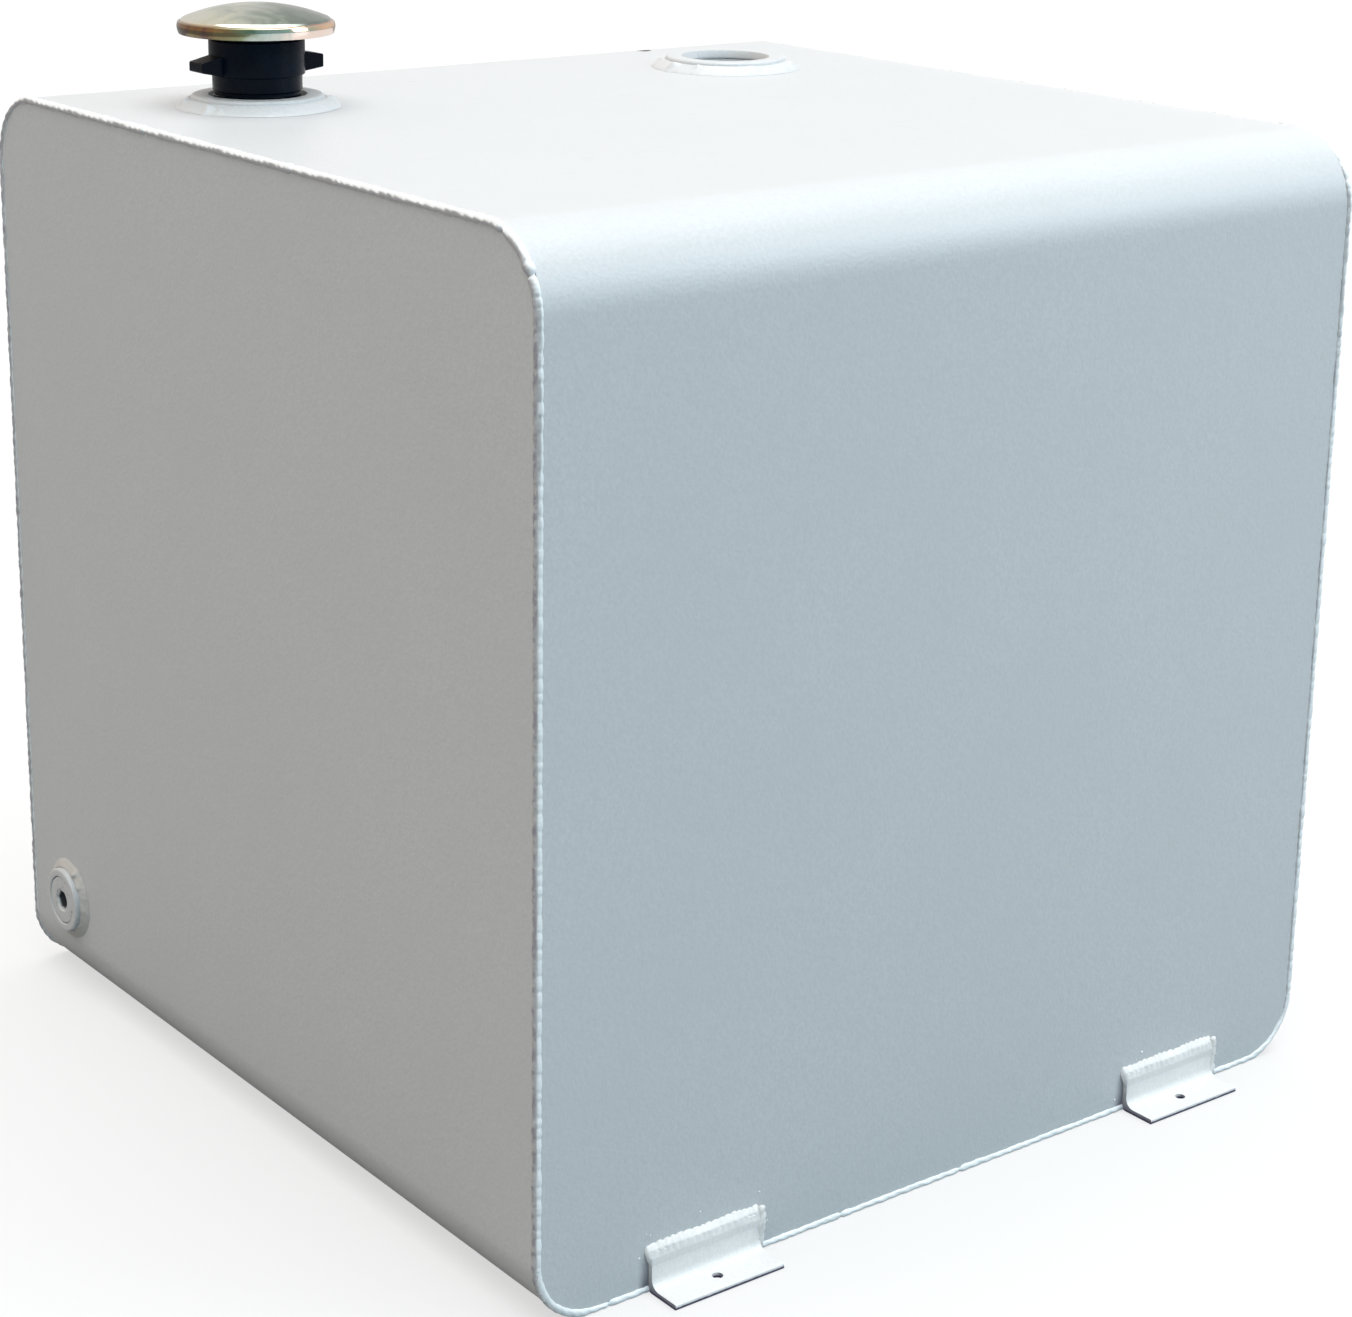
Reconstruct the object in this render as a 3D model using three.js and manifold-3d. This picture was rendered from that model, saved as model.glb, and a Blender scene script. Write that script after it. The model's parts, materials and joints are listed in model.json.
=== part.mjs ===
// Hydraulic reservoir: a welded sheet-steel cube that holds oil, with a screwed-in filler neck and
// breather cap, an open threaded top port, a drain plug and four angle brackets to stand on.
// Millimetres, +Z up. The origin is the middle of the tank's flat bottom face, -Y is the front.
import * as THREE from "three";
import { mergeVertices } from "three/addons/utils/BufferGeometryUtils.js";
import Module from "manifold-3d";

// Tank: two bent sheets that close each other, like the two halves of a tennis ball's cover.
const SIDE = 610; // 24 in cube
const HALF = SIDE / 2;
const SHEET = 2.7; // 12 gauge steel
const TOP_BEND = 45; // outer radius where the top sheet turns down into the front and the back
const BOTTOM_BEND = 40; // outer radius where the bottom sheet turns up into the two sides
const GAP = 0.3; // clearance between pieces that touch
const BEAD_RADIUS = 2.3; // seam weld
const BEAD_INSET = 0.6; // from the cube's faces to the middle of the bead
const BEAD_SIDES = 8;
const CUTTER = 10; // how far a cutting tool reaches past what it cuts

// Weld flanges in the top, a pipe-threaded ring each, and the two places they take.
const FILLER_AT = [-198, 155];
const PORT_AT = [178, 155];
const FLANGE_BORE = 28.6;
const FLANGE_SPIGOT = 36; // radius of the part that drops through the sheet
const FLANGE_RADIUS = 42;
const FLANGE_RISE = 8;
const FLANGE_DEPTH = 14; // below the outside of the sheet
const FLANGE_EDGE = 1; // chamfer
const FLANGE_BEAD = { reach: 11, height: 5.5 };

// Filler neck: screwed into its flange, heights from the outside of the tank's top.
const NECK_RADIUS = 28.3;
const NECK_BORE = 24.3;
const NECK_TOP_BORE = 26.2; // wider above the ledge that the strainer hangs on
const NECK_LEDGE = 46;
const COLLAR_RADIUS = 30.1;
const COLLAR_LOW = 20.5;
const NECK_THREAD_LOW = 42.5;
const NECK_THREAD_RADIUS = 29.5;
const NECK_TOP = 54;
const WING = { tip: 43.5, width: 16, tipLow: 23.9, tipHigh: 29.8, rootHigh: 33.6 };

// Strainer basket that hangs on the ledge inside the neck.
const STRAINER_RADIUS = 23.7;
const STRAINER_BOTTOM = -139;
const STRAINER_CAP = 3.7; // thickness of the end cap
const MESH_WALL = 1;
const COLLAR_BORE = 21.7;
const COLLAR_FOOT = 36;
const COLLAR_LIP = { radius: 25.8, thickness: 2 };

// Breather cap, heights from the outside of the tank's top.
const CAP_RADIUS = 49.4;
const CAP_LOW = 46;
const CAP_CREASE = 54.4; // where the rim band meets the dome
const CAP_TOP = 64.4;
const CAP_METAL = 1.2;
const CREASE_RADIUS = 47.8;
const DOME_RADIUS = 121.3; // of the dome's arc
const DOME_STEPS = 6;
const BASE_PLATE_LOW = 46.4;
const FOAM = { radius: 46.4, height: 5 };
const INSERT_BORE = 30.5;
const INSERT_RADIUS = 33.7;
const INSERT_LOW = 44.6;
const INSERT_CEILING = 56;
const INSERT_TOP = 57.4;
const BREATHER_HOLE = 10; // radius of the hole in the insert's ceiling
const VENT_COUNT = 12;
const VENT_RADIUS = 1.6;
const VENT_SIDES = 10;

// Drain: a boss on the left side with a flush socket plug, distances outward from the sheet.
const DRAIN_AT = [250, 65]; // y and z
const BOSS_RADIUS = 22;
const BOSS_SPIGOT = 19;
const BOSS_RISE = 7;
const BOSS_DEPTH = 9;
const PLUG_BORE = 13.3;
const PLUG_SEAT = { radius: 16.5, floor: 1.2 };
const PLUG_HEAD = { radius: 16.1, low: 3.3, high: 6.6 };
const PLUG_SHANK = { radius: 12.9, end: -10 };
const SOCKET_ACROSS_FLATS = 12;
const SOCKET_DEPTH = 9;
const SEAL_PLAY = 0.5; // beside the seal ring
const BOSS_BEAD = { reach: 6.7, height: 4.7 };

// Angle brackets, 1 in by 1 in by 1/8 in.
const BRACKET_X = 189;
const BRACKET_LENGTH = 78;
const BRACKET_LEG = 25.4;
const BRACKET_THICKNESS = 3.2;
const BRACKET_FILLET = 6;
const BRACKET_RELIEF = 4; // bevel that clears the seam weld
const FOOT_HOLE = { radius: 3.25, out: 13.7 };
const BRACKET_BEAD = 4;

// Baffle: an upright plate that parts the filler side from the port side.
const BAFFLE_LOW = 25;
const BAFFLE_HIGH = 560;
const BAFFLE_THICKNESS = 2;
const BAFFLE_CORNER = 60; // cut off each lower corner, so that oil passes along the floor
const BAFFLE_HOLE = { radius: 30, z: 140, y: 120 };
const BAFFLE_BEAD = { leg: 4, low: 90, high: 550 };

const ROUND = 36; // sides of a large circle
const SMALL_ROUND = 20;
const BEND_STEPS = 8;

const wasm = await Module();
wasm.setup();

// ---- Solids ----

// A closed three.js geometry as a manifold solid.
function solid(geometry) {
  const bare = geometry.clone();
  bare.deleteAttribute("normal");
  bare.deleteAttribute("uv");
  const merged = mergeVertices(bare, 1e-4);
  return new wasm.Manifold(
    new wasm.Mesh({
      numProp: 3,
      vertProperties: new Float32Array(merged.attributes.position.array),
      triVerts: new Uint32Array(merged.index.array),
    }),
  );
}

// A manifold solid as a flat-shaded three.js geometry.
function geometryOf(body) {
  const mesh = body.getMesh();
  const positions = new Float32Array(mesh.numVert * 3);
  for (let i = 0; i < mesh.numVert; i++) {
    const start = i * mesh.numProp;
    positions.set(mesh.vertProperties.subarray(start, start + 3), i * 3);
  }
  const indexed = new THREE.BufferGeometry();
  indexed.setAttribute("position", new THREE.BufferAttribute(positions, 3));
  indexed.setIndex(new THREE.BufferAttribute(mesh.triVerts, 1));
  const flat = indexed.toNonIndexed();
  flat.computeVertexNormals();
  return flat;
}

// A flat outline from a list of [x, y] points.
function outline(points) {
  return new THREE.Shape(points.map(([x, y]) => new THREE.Vector2(x, y)));
}

// An outline pushed along its own normal, from low to high.
function prism(shape, low, high) {
  const geometry = new THREE.ExtrudeGeometry(shape, {
    depth: high - low,
    bevelEnabled: false,
    curveSegments: BEND_STEPS,
  });
  return geometry.translate(0, 0, low);
}

// A body turned about Z. Its [radius, z] points start and end on the axis, or close on themselves.
function turned(points, sides = ROUND) {
  const profile = points.map(([r, z]) => new THREE.Vector2(r, z));
  return new THREE.LatheGeometry(profile, sides).rotateX(Math.PI / 2);
}

// A ring: its section is a closed loop of [radius, z] points, counter-clockwise.
function ring(points, sides = ROUND) {
  return turned([...points, points[0]], sides);
}

// A flat washer.
function washer(inner, outer, low, high, sides = ROUND) {
  return ring([[inner, low], [outer, low], [outer, high], [inner, high]], sides);
}

// A round bar along Z.
function bar(radius, low, high, sides = ROUND) {
  const cylinder = new THREE.CylinderGeometry(radius, radius, high - low, sides);
  return cylinder.rotateX(Math.PI / 2).translate(0, 0, (low + high) / 2);
}

// ---- Frames ----
// Profiles are drawn flat and then stood up in one of these frames.

const X = new THREE.Vector3(1, 0, 0);
const Y = new THREE.Vector3(0, 1, 0);
const Z = new THREE.Vector3(0, 0, 1);

function basis(x, y) {
  return new THREE.Matrix4().makeBasis(x, y, x.clone().cross(y));
}

// The top sheet's arch opens downwards and runs along X.
const ARCH_UP = basis(Y, Z);
// The bottom sheet's arch opens upwards and runs along Y.
const ARCH_DOWN = basis(X, Z.clone().negate()).setPosition(0, 0, SIDE);

// ---- Tank sheets ----

// The area under an arch that is `inset` smaller than the cube all round.
function arch(inset, bend, foot) {
  const half = HALF - inset;
  const top = SIDE - inset;
  const radius = bend - inset;
  const shape = new THREE.Shape();
  shape.moveTo(-half, foot);
  shape.lineTo(half, foot);
  shape.absarc(half - radius, top - radius, radius, 0, Math.PI / 2, false);
  shape.absarc(radius - half, top - radius, radius, Math.PI / 2, Math.PI, false);
  return shape;
}

function archBlock(inset, bend, foot, frame) {
  const reach = HALF + CUTTER;
  return solid(prism(arch(inset, bend, foot), -reach, reach).applyMatrix4(frame));
}

// One bent sheet, trimmed to sit inside the other one's bend. `grow` fattens it on every side.
function bentSheet(frame, bend, otherFrame, otherBend, grow = 0) {
  const outside = archBlock(-grow, bend, 0, frame);
  const inside = archBlock(SHEET + grow, bend, -SHEET, frame);
  const trim = archBlock(SHEET + GAP - grow, otherBend, -SHEET, otherFrame);
  return outside.subtract(inside).intersect(trim);
}

function topSheet(grow) {
  return bentSheet(ARCH_UP, TOP_BEND, ARCH_DOWN, BOTTOM_BEND, grow);
}

function bottomSheet(grow) {
  return bentSheet(ARCH_DOWN, BOTTOM_BEND, ARCH_UP, TOP_BEND, grow);
}

function topShell() {
  let shell = topSheet();
  for (const [x, y] of [FILLER_AT, PORT_AT]) {
    const hole = bar(FLANGE_SPIGOT + GAP, -CUTTER, CUTTER).translate(x, y, SIDE);
    shell = shell.subtract(solid(hole));
  }
  return geometryOf(shell);
}

function bottomShell() {
  const hole = bar(BOSS_SPIGOT + GAP, -CUTTER, CUTTER).applyMatrix4(DRAIN_FRAME);
  return geometryOf(bottomSheet().subtract(solid(hole)));
}

// ---- Seam welds ----

// A route of straight pieces, with a station at each of its points and nowhere else.
class Route extends THREE.Curve {
  constructor(points) {
    super();
    this.points = points;
  }

  getPoint(t, target = new THREE.Vector3()) {
    const place = THREE.MathUtils.clamp(t, 0, 1) * (this.points.length - 1);
    const index = Math.min(Math.floor(place), this.points.length - 2);
    return target.lerpVectors(this.points[index], this.points[index + 1], place - index);
  }

  getUtoTmapping(u) {
    return u;
  }
}

// A round bead along an arch, in the plane `along` of the frame, down to the height `foot`.
function archBead(frame, bend, along, foot) {
  const half = HALF - BEAD_INSET;
  const radius = bend - BEAD_INSET;
  const centre = HALF - bend;
  const quarter = [];
  for (let i = 0; i <= BEND_STEPS; i++) {
    const angle = (i / BEND_STEPS) * (Math.PI / 2);
    quarter.push([centre + radius * Math.cos(angle), SIDE - bend + radius * Math.sin(angle)]);
  }
  const legs = foot < SIDE - bend ? [[half, foot]] : [];
  const right = [...legs, ...quarter];
  const left = right.map(([x, y]) => [-x, y]).reverse();
  const points = [...right, ...left].map(([x, y]) =>
    new THREE.Vector3(x, y, along).applyMatrix4(frame),
  );
  const section = new THREE.Shape();
  section.absarc(0, 0, BEAD_RADIUS, 0, 2 * Math.PI, false);
  const sides = section.getPoints(BEAD_SIDES / 2).slice(0, -1);
  return new THREE.ExtrudeGeometry(new THREE.Shape(sides), {
    steps: points.length - 1,
    bevelEnabled: false,
    extrudePath: new Route(points),
  });
}

// The bead fills the notch between the two sheets and is flush with the tank's bottom.
function seamWeld(frame, bend, along, foot) {
  const reach = 2 * SIDE;
  const above = new THREE.BoxGeometry(reach, reach, reach).translate(0, 0, reach / 2);
  const bead = solid(archBead(frame, bend, along, foot));
  const clear = bead.subtract(topSheet(GAP)).subtract(bottomSheet(GAP));
  return geometryOf(clear.intersect(solid(above)));
}

// Beads over the top of the left and right sides, down to where the bottom bends begin.
function sideSeamWeld(side) {
  return seamWeld(ARCH_UP, TOP_BEND, side * (HALF - BEAD_INSET), BOTTOM_BEND + GAP);
}

// Beads under the front and the back, from one bottom bend to the other.
function underSeamWeld(side) {
  return seamWeld(ARCH_DOWN, BOTTOM_BEND, side * (HALF - BEAD_INSET), SIDE - BOTTOM_BEND);
}

// ---- Baffle ----

function bafflePlate() {
  const edge = HALF - SHEET - GAP;
  const cut = edge - BAFFLE_CORNER;
  const plate = outline([
    [-cut, BAFFLE_LOW],
    [cut, BAFFLE_LOW],
    [edge, BAFFLE_LOW + BAFFLE_CORNER],
    [edge, BAFFLE_HIGH],
    [-edge, BAFFLE_HIGH],
    [-edge, BAFFLE_LOW + BAFFLE_CORNER],
  ]);
  for (const side of [-1, 1]) {
    const hole = new THREE.Path();
    hole.absarc(side * BAFFLE_HOLE.y, BAFFLE_HOLE.z, BAFFLE_HOLE.radius, 0, 2 * Math.PI, true);
    plate.holes.push(hole);
  }
  return prism(plate, -BAFFLE_THICKNESS / 2, BAFFLE_THICKNESS / 2).applyMatrix4(ARCH_UP);
}

// A fillet in the corner between the baffle and the front or back sheet.
function baffleWeld() {
  const start = BAFFLE_THICKNESS / 2 + GAP;
  const { leg, low, high } = BAFFLE_BEAD;
  return prism(outline([[start, 0], [start + leg, 0], [start, leg]]), low, high);
}

// ---- Flanges ----

// A pipe-threaded ring that sits on the sheet, with a spigot through it.
function weldFlange() {
  return ring([
    [FLANGE_BORE, -FLANGE_DEPTH],
    [FLANGE_SPIGOT, -FLANGE_DEPTH],
    [FLANGE_SPIGOT, GAP],
    [FLANGE_RADIUS, GAP],
    [FLANGE_RADIUS, FLANGE_RISE - FLANGE_EDGE],
    [FLANGE_RADIUS - FLANGE_EDGE, FLANGE_RISE],
    [FLANGE_BORE + FLANGE_EDGE, FLANGE_RISE],
    [FLANGE_BORE, FLANGE_RISE - FLANGE_EDGE],
  ]);
}

// A fillet weld round a flange or boss.
function ringWeld(radius, { reach, height }) {
  const inner = radius + GAP;
  return ring([
    [inner, GAP],
    [radius + reach, GAP],
    [radius + reach / 2, GAP + height / 2],
    [inner, height],
  ]);
}

// ---- Filler neck and strainer ----

function wing() {
  const { tip, width, tipLow, tipHigh, rootHigh } = WING;
  const root = NECK_TOP_BORE;
  const side = outline([[root, COLLAR_LOW], [tip, tipLow], [tip, tipHigh], [root, rootHigh]]);
  return prism(side, -width / 2, width / 2).rotateX(Math.PI / 2);
}

function fillerNeck() {
  const body = ring([
    [NECK_BORE, -FLANGE_DEPTH + 1],
    [NECK_RADIUS, -FLANGE_DEPTH + 1],
    [NECK_RADIUS, COLLAR_LOW],
    [COLLAR_RADIUS, COLLAR_LOW],
    [COLLAR_RADIUS, NECK_THREAD_LOW],
    [NECK_THREAD_RADIUS, NECK_THREAD_LOW],
    [NECK_THREAD_RADIUS, NECK_TOP],
    [NECK_TOP_BORE, NECK_TOP],
    [NECK_TOP_BORE, NECK_LEDGE],
    [NECK_BORE, NECK_LEDGE],
  ]);
  const wings = solid(wing()).add(solid(wing().rotateZ(Math.PI)));
  return geometryOf(solid(body).add(wings));
}

function strainerCollar() {
  const low = NECK_LEDGE + GAP;
  const high = low + COLLAR_LIP.thickness;
  return ring([
    [COLLAR_BORE, COLLAR_FOOT],
    [STRAINER_RADIUS, COLLAR_FOOT],
    [STRAINER_RADIUS, low],
    [COLLAR_LIP.radius, low],
    [COLLAR_LIP.radius, high],
    [COLLAR_BORE, high],
  ]);
}

function strainerMesh() {
  const low = STRAINER_BOTTOM + STRAINER_CAP + GAP;
  const high = COLLAR_FOOT - GAP;
  return washer(STRAINER_RADIUS - MESH_WALL, STRAINER_RADIUS, low, high);
}

function strainerEndCap() {
  return bar(STRAINER_RADIUS, STRAINER_BOTTOM, STRAINER_BOTTOM + STRAINER_CAP);
}

// ---- Breather cap ----

// Points of the dome's arc, from the axis out to the radius `edge`.
function domeArc(radius, edge) {
  const centre = CAP_TOP - DOME_RADIUS;
  const points = [];
  for (let i = 0; i <= DOME_STEPS; i++) {
    const r = (i / DOME_STEPS) * edge;
    points.push([r, centre + Math.sqrt(radius * radius - r * r)]);
  }
  return points;
}

function capDome() {
  const wall = CAP_RADIUS - CAP_METAL;
  const shoulder = CAP_CREASE - CAP_METAL;
  return turned([
    ...domeArc(DOME_RADIUS - CAP_METAL, wall - CAP_METAL),
    [wall, shoulder - CAP_METAL],
    [wall, CAP_LOW],
    [CAP_RADIUS - CAP_METAL / 2, CAP_LOW],
    [CAP_RADIUS, CAP_LOW + CAP_METAL],
    [CAP_RADIUS, shoulder],
    ...domeArc(DOME_RADIUS, CREASE_RADIUS).reverse(),
  ]);
}

// A plate that closes the cap from below, with a ring of breather holes.
function capBasePlate() {
  const outer = CAP_RADIUS - CAP_METAL - GAP;
  const low = BASE_PLATE_LOW;
  const high = low + CAP_METAL;
  let plate = solid(washer(INSERT_RADIUS + GAP, outer, low, high));
  const middle = (INSERT_RADIUS + outer) / 2;
  for (let i = 0; i < VENT_COUNT; i++) {
    const hole = bar(VENT_RADIUS, low - 1, high + 1, VENT_SIDES).translate(middle, 0, 0);
    plate = plate.subtract(solid(hole.rotateZ((i / VENT_COUNT) * 2 * Math.PI)));
  }
  return geometryOf(plate);
}

// The threaded cup that screws over the neck, with a breather hole in its ceiling.
function capThreadInsert() {
  return ring([
    [INSERT_BORE, INSERT_LOW],
    [INSERT_RADIUS, INSERT_LOW],
    [INSERT_RADIUS, INSERT_TOP],
    [BREATHER_HOLE, INSERT_TOP],
    [BREATHER_HOLE, INSERT_CEILING],
    [INSERT_BORE, INSERT_CEILING],
  ]);
}

function breatherElement() {
  const low = BASE_PLATE_LOW + CAP_METAL + GAP;
  return washer(INSERT_RADIUS + GAP, FOAM.radius, low, low + FOAM.height);
}

function capGasket() {
  return washer(NECK_TOP_BORE, NECK_THREAD_RADIUS, NECK_TOP + GAP, INSERT_CEILING - GAP);
}

// ---- Drain ----

// Z points out of the left side, at the drain.
const DRAIN_FRAME = basis(Y, Z)
  .multiply(new THREE.Matrix4().makeRotationY(Math.PI))
  .setPosition(-HALF, ...DRAIN_AT);

function drainBoss() {
  return ring([
    [PLUG_BORE, -BOSS_DEPTH],
    [BOSS_SPIGOT, -BOSS_DEPTH],
    [BOSS_SPIGOT, GAP],
    [BOSS_RADIUS, GAP],
    [BOSS_RADIUS, BOSS_RISE - FLANGE_EDGE],
    [BOSS_RADIUS - FLANGE_EDGE, BOSS_RISE],
    [PLUG_SEAT.radius, BOSS_RISE],
    [PLUG_SEAT.radius, PLUG_SEAT.floor],
    [PLUG_BORE, PLUG_SEAT.floor],
  ]);
}

function drainPlug() {
  const body = turned([
    [0, PLUG_SHANK.end],
    [PLUG_SHANK.radius, PLUG_SHANK.end],
    [PLUG_SHANK.radius, PLUG_HEAD.low],
    [PLUG_HEAD.radius, PLUG_HEAD.low],
    [PLUG_HEAD.radius, PLUG_HEAD.high],
    [0, PLUG_HEAD.high],
  ]);
  const corner = SOCKET_ACROSS_FLATS / Math.sqrt(3);
  const socket = bar(corner, PLUG_HEAD.high - SOCKET_DEPTH, PLUG_HEAD.high + 1, 6);
  return geometryOf(solid(body).subtract(solid(socket)));
}

function drainPlugSeal() {
  const inner = PLUG_SHANK.radius + SEAL_PLAY;
  const outer = PLUG_SEAT.radius - SEAL_PLAY;
  return washer(inner, outer, PLUG_SEAT.floor + GAP, PLUG_HEAD.low - GAP);
}

// ---- Brackets ----

// Drawn as [distance out from the sheet, height], then stood up to run along X.
const BRACKET_FRAME = basis(Y.clone().negate(), Z);

function bracket() {
  const back = GAP;
  const front = back + BRACKET_THICKNESS;
  const tip = back + BRACKET_LEG;
  const centre = [front + BRACKET_FILLET, BRACKET_THICKNESS + BRACKET_FILLET];
  const angle = new THREE.Shape();
  angle.moveTo(back + BRACKET_RELIEF, 0);
  angle.lineTo(tip, 0);
  angle.lineTo(tip, BRACKET_THICKNESS);
  angle.absarc(...centre, BRACKET_FILLET, 1.5 * Math.PI, Math.PI, true);
  angle.lineTo(front, BRACKET_LEG);
  angle.lineTo(back, BRACKET_LEG);
  angle.lineTo(back, BRACKET_RELIEF);
  const half = BRACKET_LENGTH / 2;
  const length = solid(prism(angle, -half, half).applyMatrix4(BRACKET_FRAME));
  const hole = bar(FOOT_HOLE.radius, -1, BRACKET_LEG, SMALL_ROUND);
  return geometryOf(length.subtract(solid(hole.translate(0, -FOOT_HOLE.out, 0))));
}

// The bead runs over the upright leg and down one end, and only starts down the other.
function bracketWeld() {
  const inner = BRACKET_LENGTH / 2 + GAP;
  const outer = inner + BRACKET_BEAD;
  const foot = BRACKET_RELIEF + 1;
  const under = BRACKET_LEG + GAP;
  const over = under + BRACKET_BEAD;
  const bead = outline([
    [inner, foot],
    [outer, foot],
    [outer, over],
    [-outer, over],
    [-outer, BRACKET_LEG / 2],
    [-inner, BRACKET_LEG / 2],
    [-inner, under],
    [inner, under],
  ]);
  return prism(bead, GAP, BRACKET_THICKNESS).applyMatrix4(basis(X, Z));
}

// ---- Materials ----

function material(color, roughness, metalness = 0) {
  return new THREE.MeshStandardMaterial({ color, roughness, metalness });
}

const whitePaint = () => material(0xeceeef, 0.35);
const steel = () => material(0x8d9093, 0.45, 0.9);
const blackPlastic = () => material(0x15171a, 0.5);
const platedSteel = () => material(0xcfd0c4, 0.22, 1);
const rubber = () => material(0x1b1b1c, 0.85);
const foam = () => material(0x2c2e30, 1);

// ---- Assembly ----

const reservoir = new THREE.Group();

function place(parent, name, geometry, finish, x = 0, y = 0, z = 0) {
  const mesh = new THREE.Mesh(geometry, finish);
  mesh.name = name;
  mesh.position.set(x, y, z);
  parent.add(mesh);
  return mesh;
}

function buildTank() {
  place(reservoir, "top_shell", topShell(), whitePaint());
  place(reservoir, "bottom_shell", bottomShell(), whitePaint());
  place(reservoir, "seam_weld_left", sideSeamWeld(-1), whitePaint());
  place(reservoir, "seam_weld_right", sideSeamWeld(1), whitePaint());
  place(reservoir, "seam_weld_front", underSeamWeld(-1), whitePaint());
  place(reservoir, "seam_weld_back", underSeamWeld(1), whitePaint());
}

function buildBaffle() {
  const wall = HALF - SHEET - GAP;
  place(reservoir, "baffle_plate", bafflePlate(), steel());
  place(reservoir, "baffle_weld_front", baffleWeld(), steel(), 0, -wall, 0);
  const back = place(reservoir, "baffle_weld_back", baffleWeld(), steel(), 0, wall, 0);
  back.rotation.z = Math.PI;
}

function buildTopFittings() {
  const fittings = [["filler_flange", FILLER_AT], ["top_port_flange", PORT_AT]];
  for (const [name, [x, y]] of fittings) {
    place(reservoir, name, weldFlange(), whitePaint(), x, y, SIDE);
    const bead = ringWeld(FLANGE_RADIUS, FLANGE_BEAD);
    place(reservoir, name + "_weld", bead, whitePaint(), x, y, SIDE);
  }
}

function buildFiller() {
  const filler = new THREE.Group();
  filler.position.set(...FILLER_AT, SIDE);
  reservoir.add(filler);
  place(filler, "filler_neck", fillerNeck(), blackPlastic());
  place(filler, "strainer_collar", strainerCollar(), blackPlastic());
  place(filler, "strainer_mesh", strainerMesh(), steel());
  place(filler, "strainer_end_cap", strainerEndCap(), blackPlastic());
  place(filler, "cap_gasket", capGasket(), rubber());
  place(filler, "cap_thread_insert", capThreadInsert(), blackPlastic());
  place(filler, "cap_base_plate", capBasePlate(), platedSteel());
  place(filler, "breather_element", breatherElement(), foam());
  place(filler, "cap_dome", capDome(), platedSteel());
}

function buildDrain() {
  const drain = new THREE.Group();
  drain.applyMatrix4(DRAIN_FRAME);
  reservoir.add(drain);
  place(drain, "drain_boss", drainBoss(), whitePaint());
  place(drain, "drain_boss_weld", ringWeld(BOSS_RADIUS, BOSS_BEAD), whitePaint());
  place(drain, "drain_plug", drainPlug(), steel());
  place(drain, "drain_plug_seal", drainPlugSeal(), rubber());
}

function buildBrackets() {
  for (const [end, turn] of [["front", 0], ["rear", Math.PI]]) {
    const row = new THREE.Group();
    row.rotation.z = turn;
    reservoir.add(row);
    for (const side of [-1, 1]) {
      const hand = side * Math.cos(turn) < 0 ? "left" : "right";
      const name = `${end}_${hand}_bracket`;
      place(row, name, bracket(), whitePaint(), side * BRACKET_X, -HALF, 0);
      place(row, name + "_weld", bracketWeld(), whitePaint(), side * BRACKET_X, -HALF, 0);
    }
  }
}

buildTank();
buildBaffle();
buildTopFittings();
buildFiller();
buildDrain();
buildBrackets();

export default reservoir;
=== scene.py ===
"""The looks of the hydraulic reservoir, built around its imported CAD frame.

Metres, +Z up, and -Y is the front. Fittings are drawn about their own axis, which points out of the
tank, with heights measured from the outside of the sheet that they sit on.
"""

import json
import math

import bmesh
import bpy
import numpy as np
from mathutils import Matrix, Vector


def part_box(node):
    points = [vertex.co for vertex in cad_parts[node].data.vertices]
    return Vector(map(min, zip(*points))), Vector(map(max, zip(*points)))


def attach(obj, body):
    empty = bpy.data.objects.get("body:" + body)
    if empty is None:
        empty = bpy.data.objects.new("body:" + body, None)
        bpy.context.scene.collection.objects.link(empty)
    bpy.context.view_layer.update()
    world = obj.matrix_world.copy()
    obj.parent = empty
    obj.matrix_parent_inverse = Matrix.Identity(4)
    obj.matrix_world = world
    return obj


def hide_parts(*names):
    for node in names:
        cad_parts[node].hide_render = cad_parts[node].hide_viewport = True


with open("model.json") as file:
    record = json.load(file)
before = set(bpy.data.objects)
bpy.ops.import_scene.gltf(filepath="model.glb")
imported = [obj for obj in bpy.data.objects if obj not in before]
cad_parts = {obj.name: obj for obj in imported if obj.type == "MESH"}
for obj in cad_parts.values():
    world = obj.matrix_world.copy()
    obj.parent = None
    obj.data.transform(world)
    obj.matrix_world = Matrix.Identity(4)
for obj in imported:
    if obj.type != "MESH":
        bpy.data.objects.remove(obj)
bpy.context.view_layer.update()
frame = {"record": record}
record = frame["record"]

MM = 0.001
DEG = math.pi / 180


def middle(node):
    low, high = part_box(node)
    return (low + high) / 2


# ---- Sizes ----

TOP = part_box("top_shell")[1].z  # outside of the tank's top
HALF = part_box("top_shell")[1].y  # half the tank's width and depth
SHEET = 2.7 * MM
TOP_BEND = 45 * MM  # outer radii of the two sheets' bends
BOTTOM_BEND = 40 * MM
TRIM = 3 * MM  # each sheet stops this far inside the other one's outside
SEAM_RADIUS = 3.1 * MM
SEAM_INSET = 1.4 * MM

FLANGE_BORE = 28.6 * MM
FLANGE_SPIGOT = 36 * MM
FLANGE_RADIUS = 42 * MM
FLANGE_RISE = 8 * MM
FLANGE_DEPTH = 14 * MM
FLANGE_BEAD = (11 * MM, 7.1 * MM)  # reach along the sheet, height up the wall

NECK_RADIUS = 28.2 * MM
NECK_BORE = 24.3 * MM
NECK_TOP_BORE = 26.2 * MM
NECK_LEDGE = 46 * MM
NECK_TOP = 54 * MM
COLLAR_RADIUS = 30.1 * MM
COLLAR_LOW = 20.5 * MM
COLLAR_HIGH = 42.5 * MM
CAP_THREAD_RADIUS = 29.4 * MM
CAP_THREAD_PITCH = 5 * MM
CAP_THREAD_DEPTH = 1.1 * MM
PIPE_PITCH = 2.209 * MM
PIPE_DEPTH = 1.1 * MM

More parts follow.
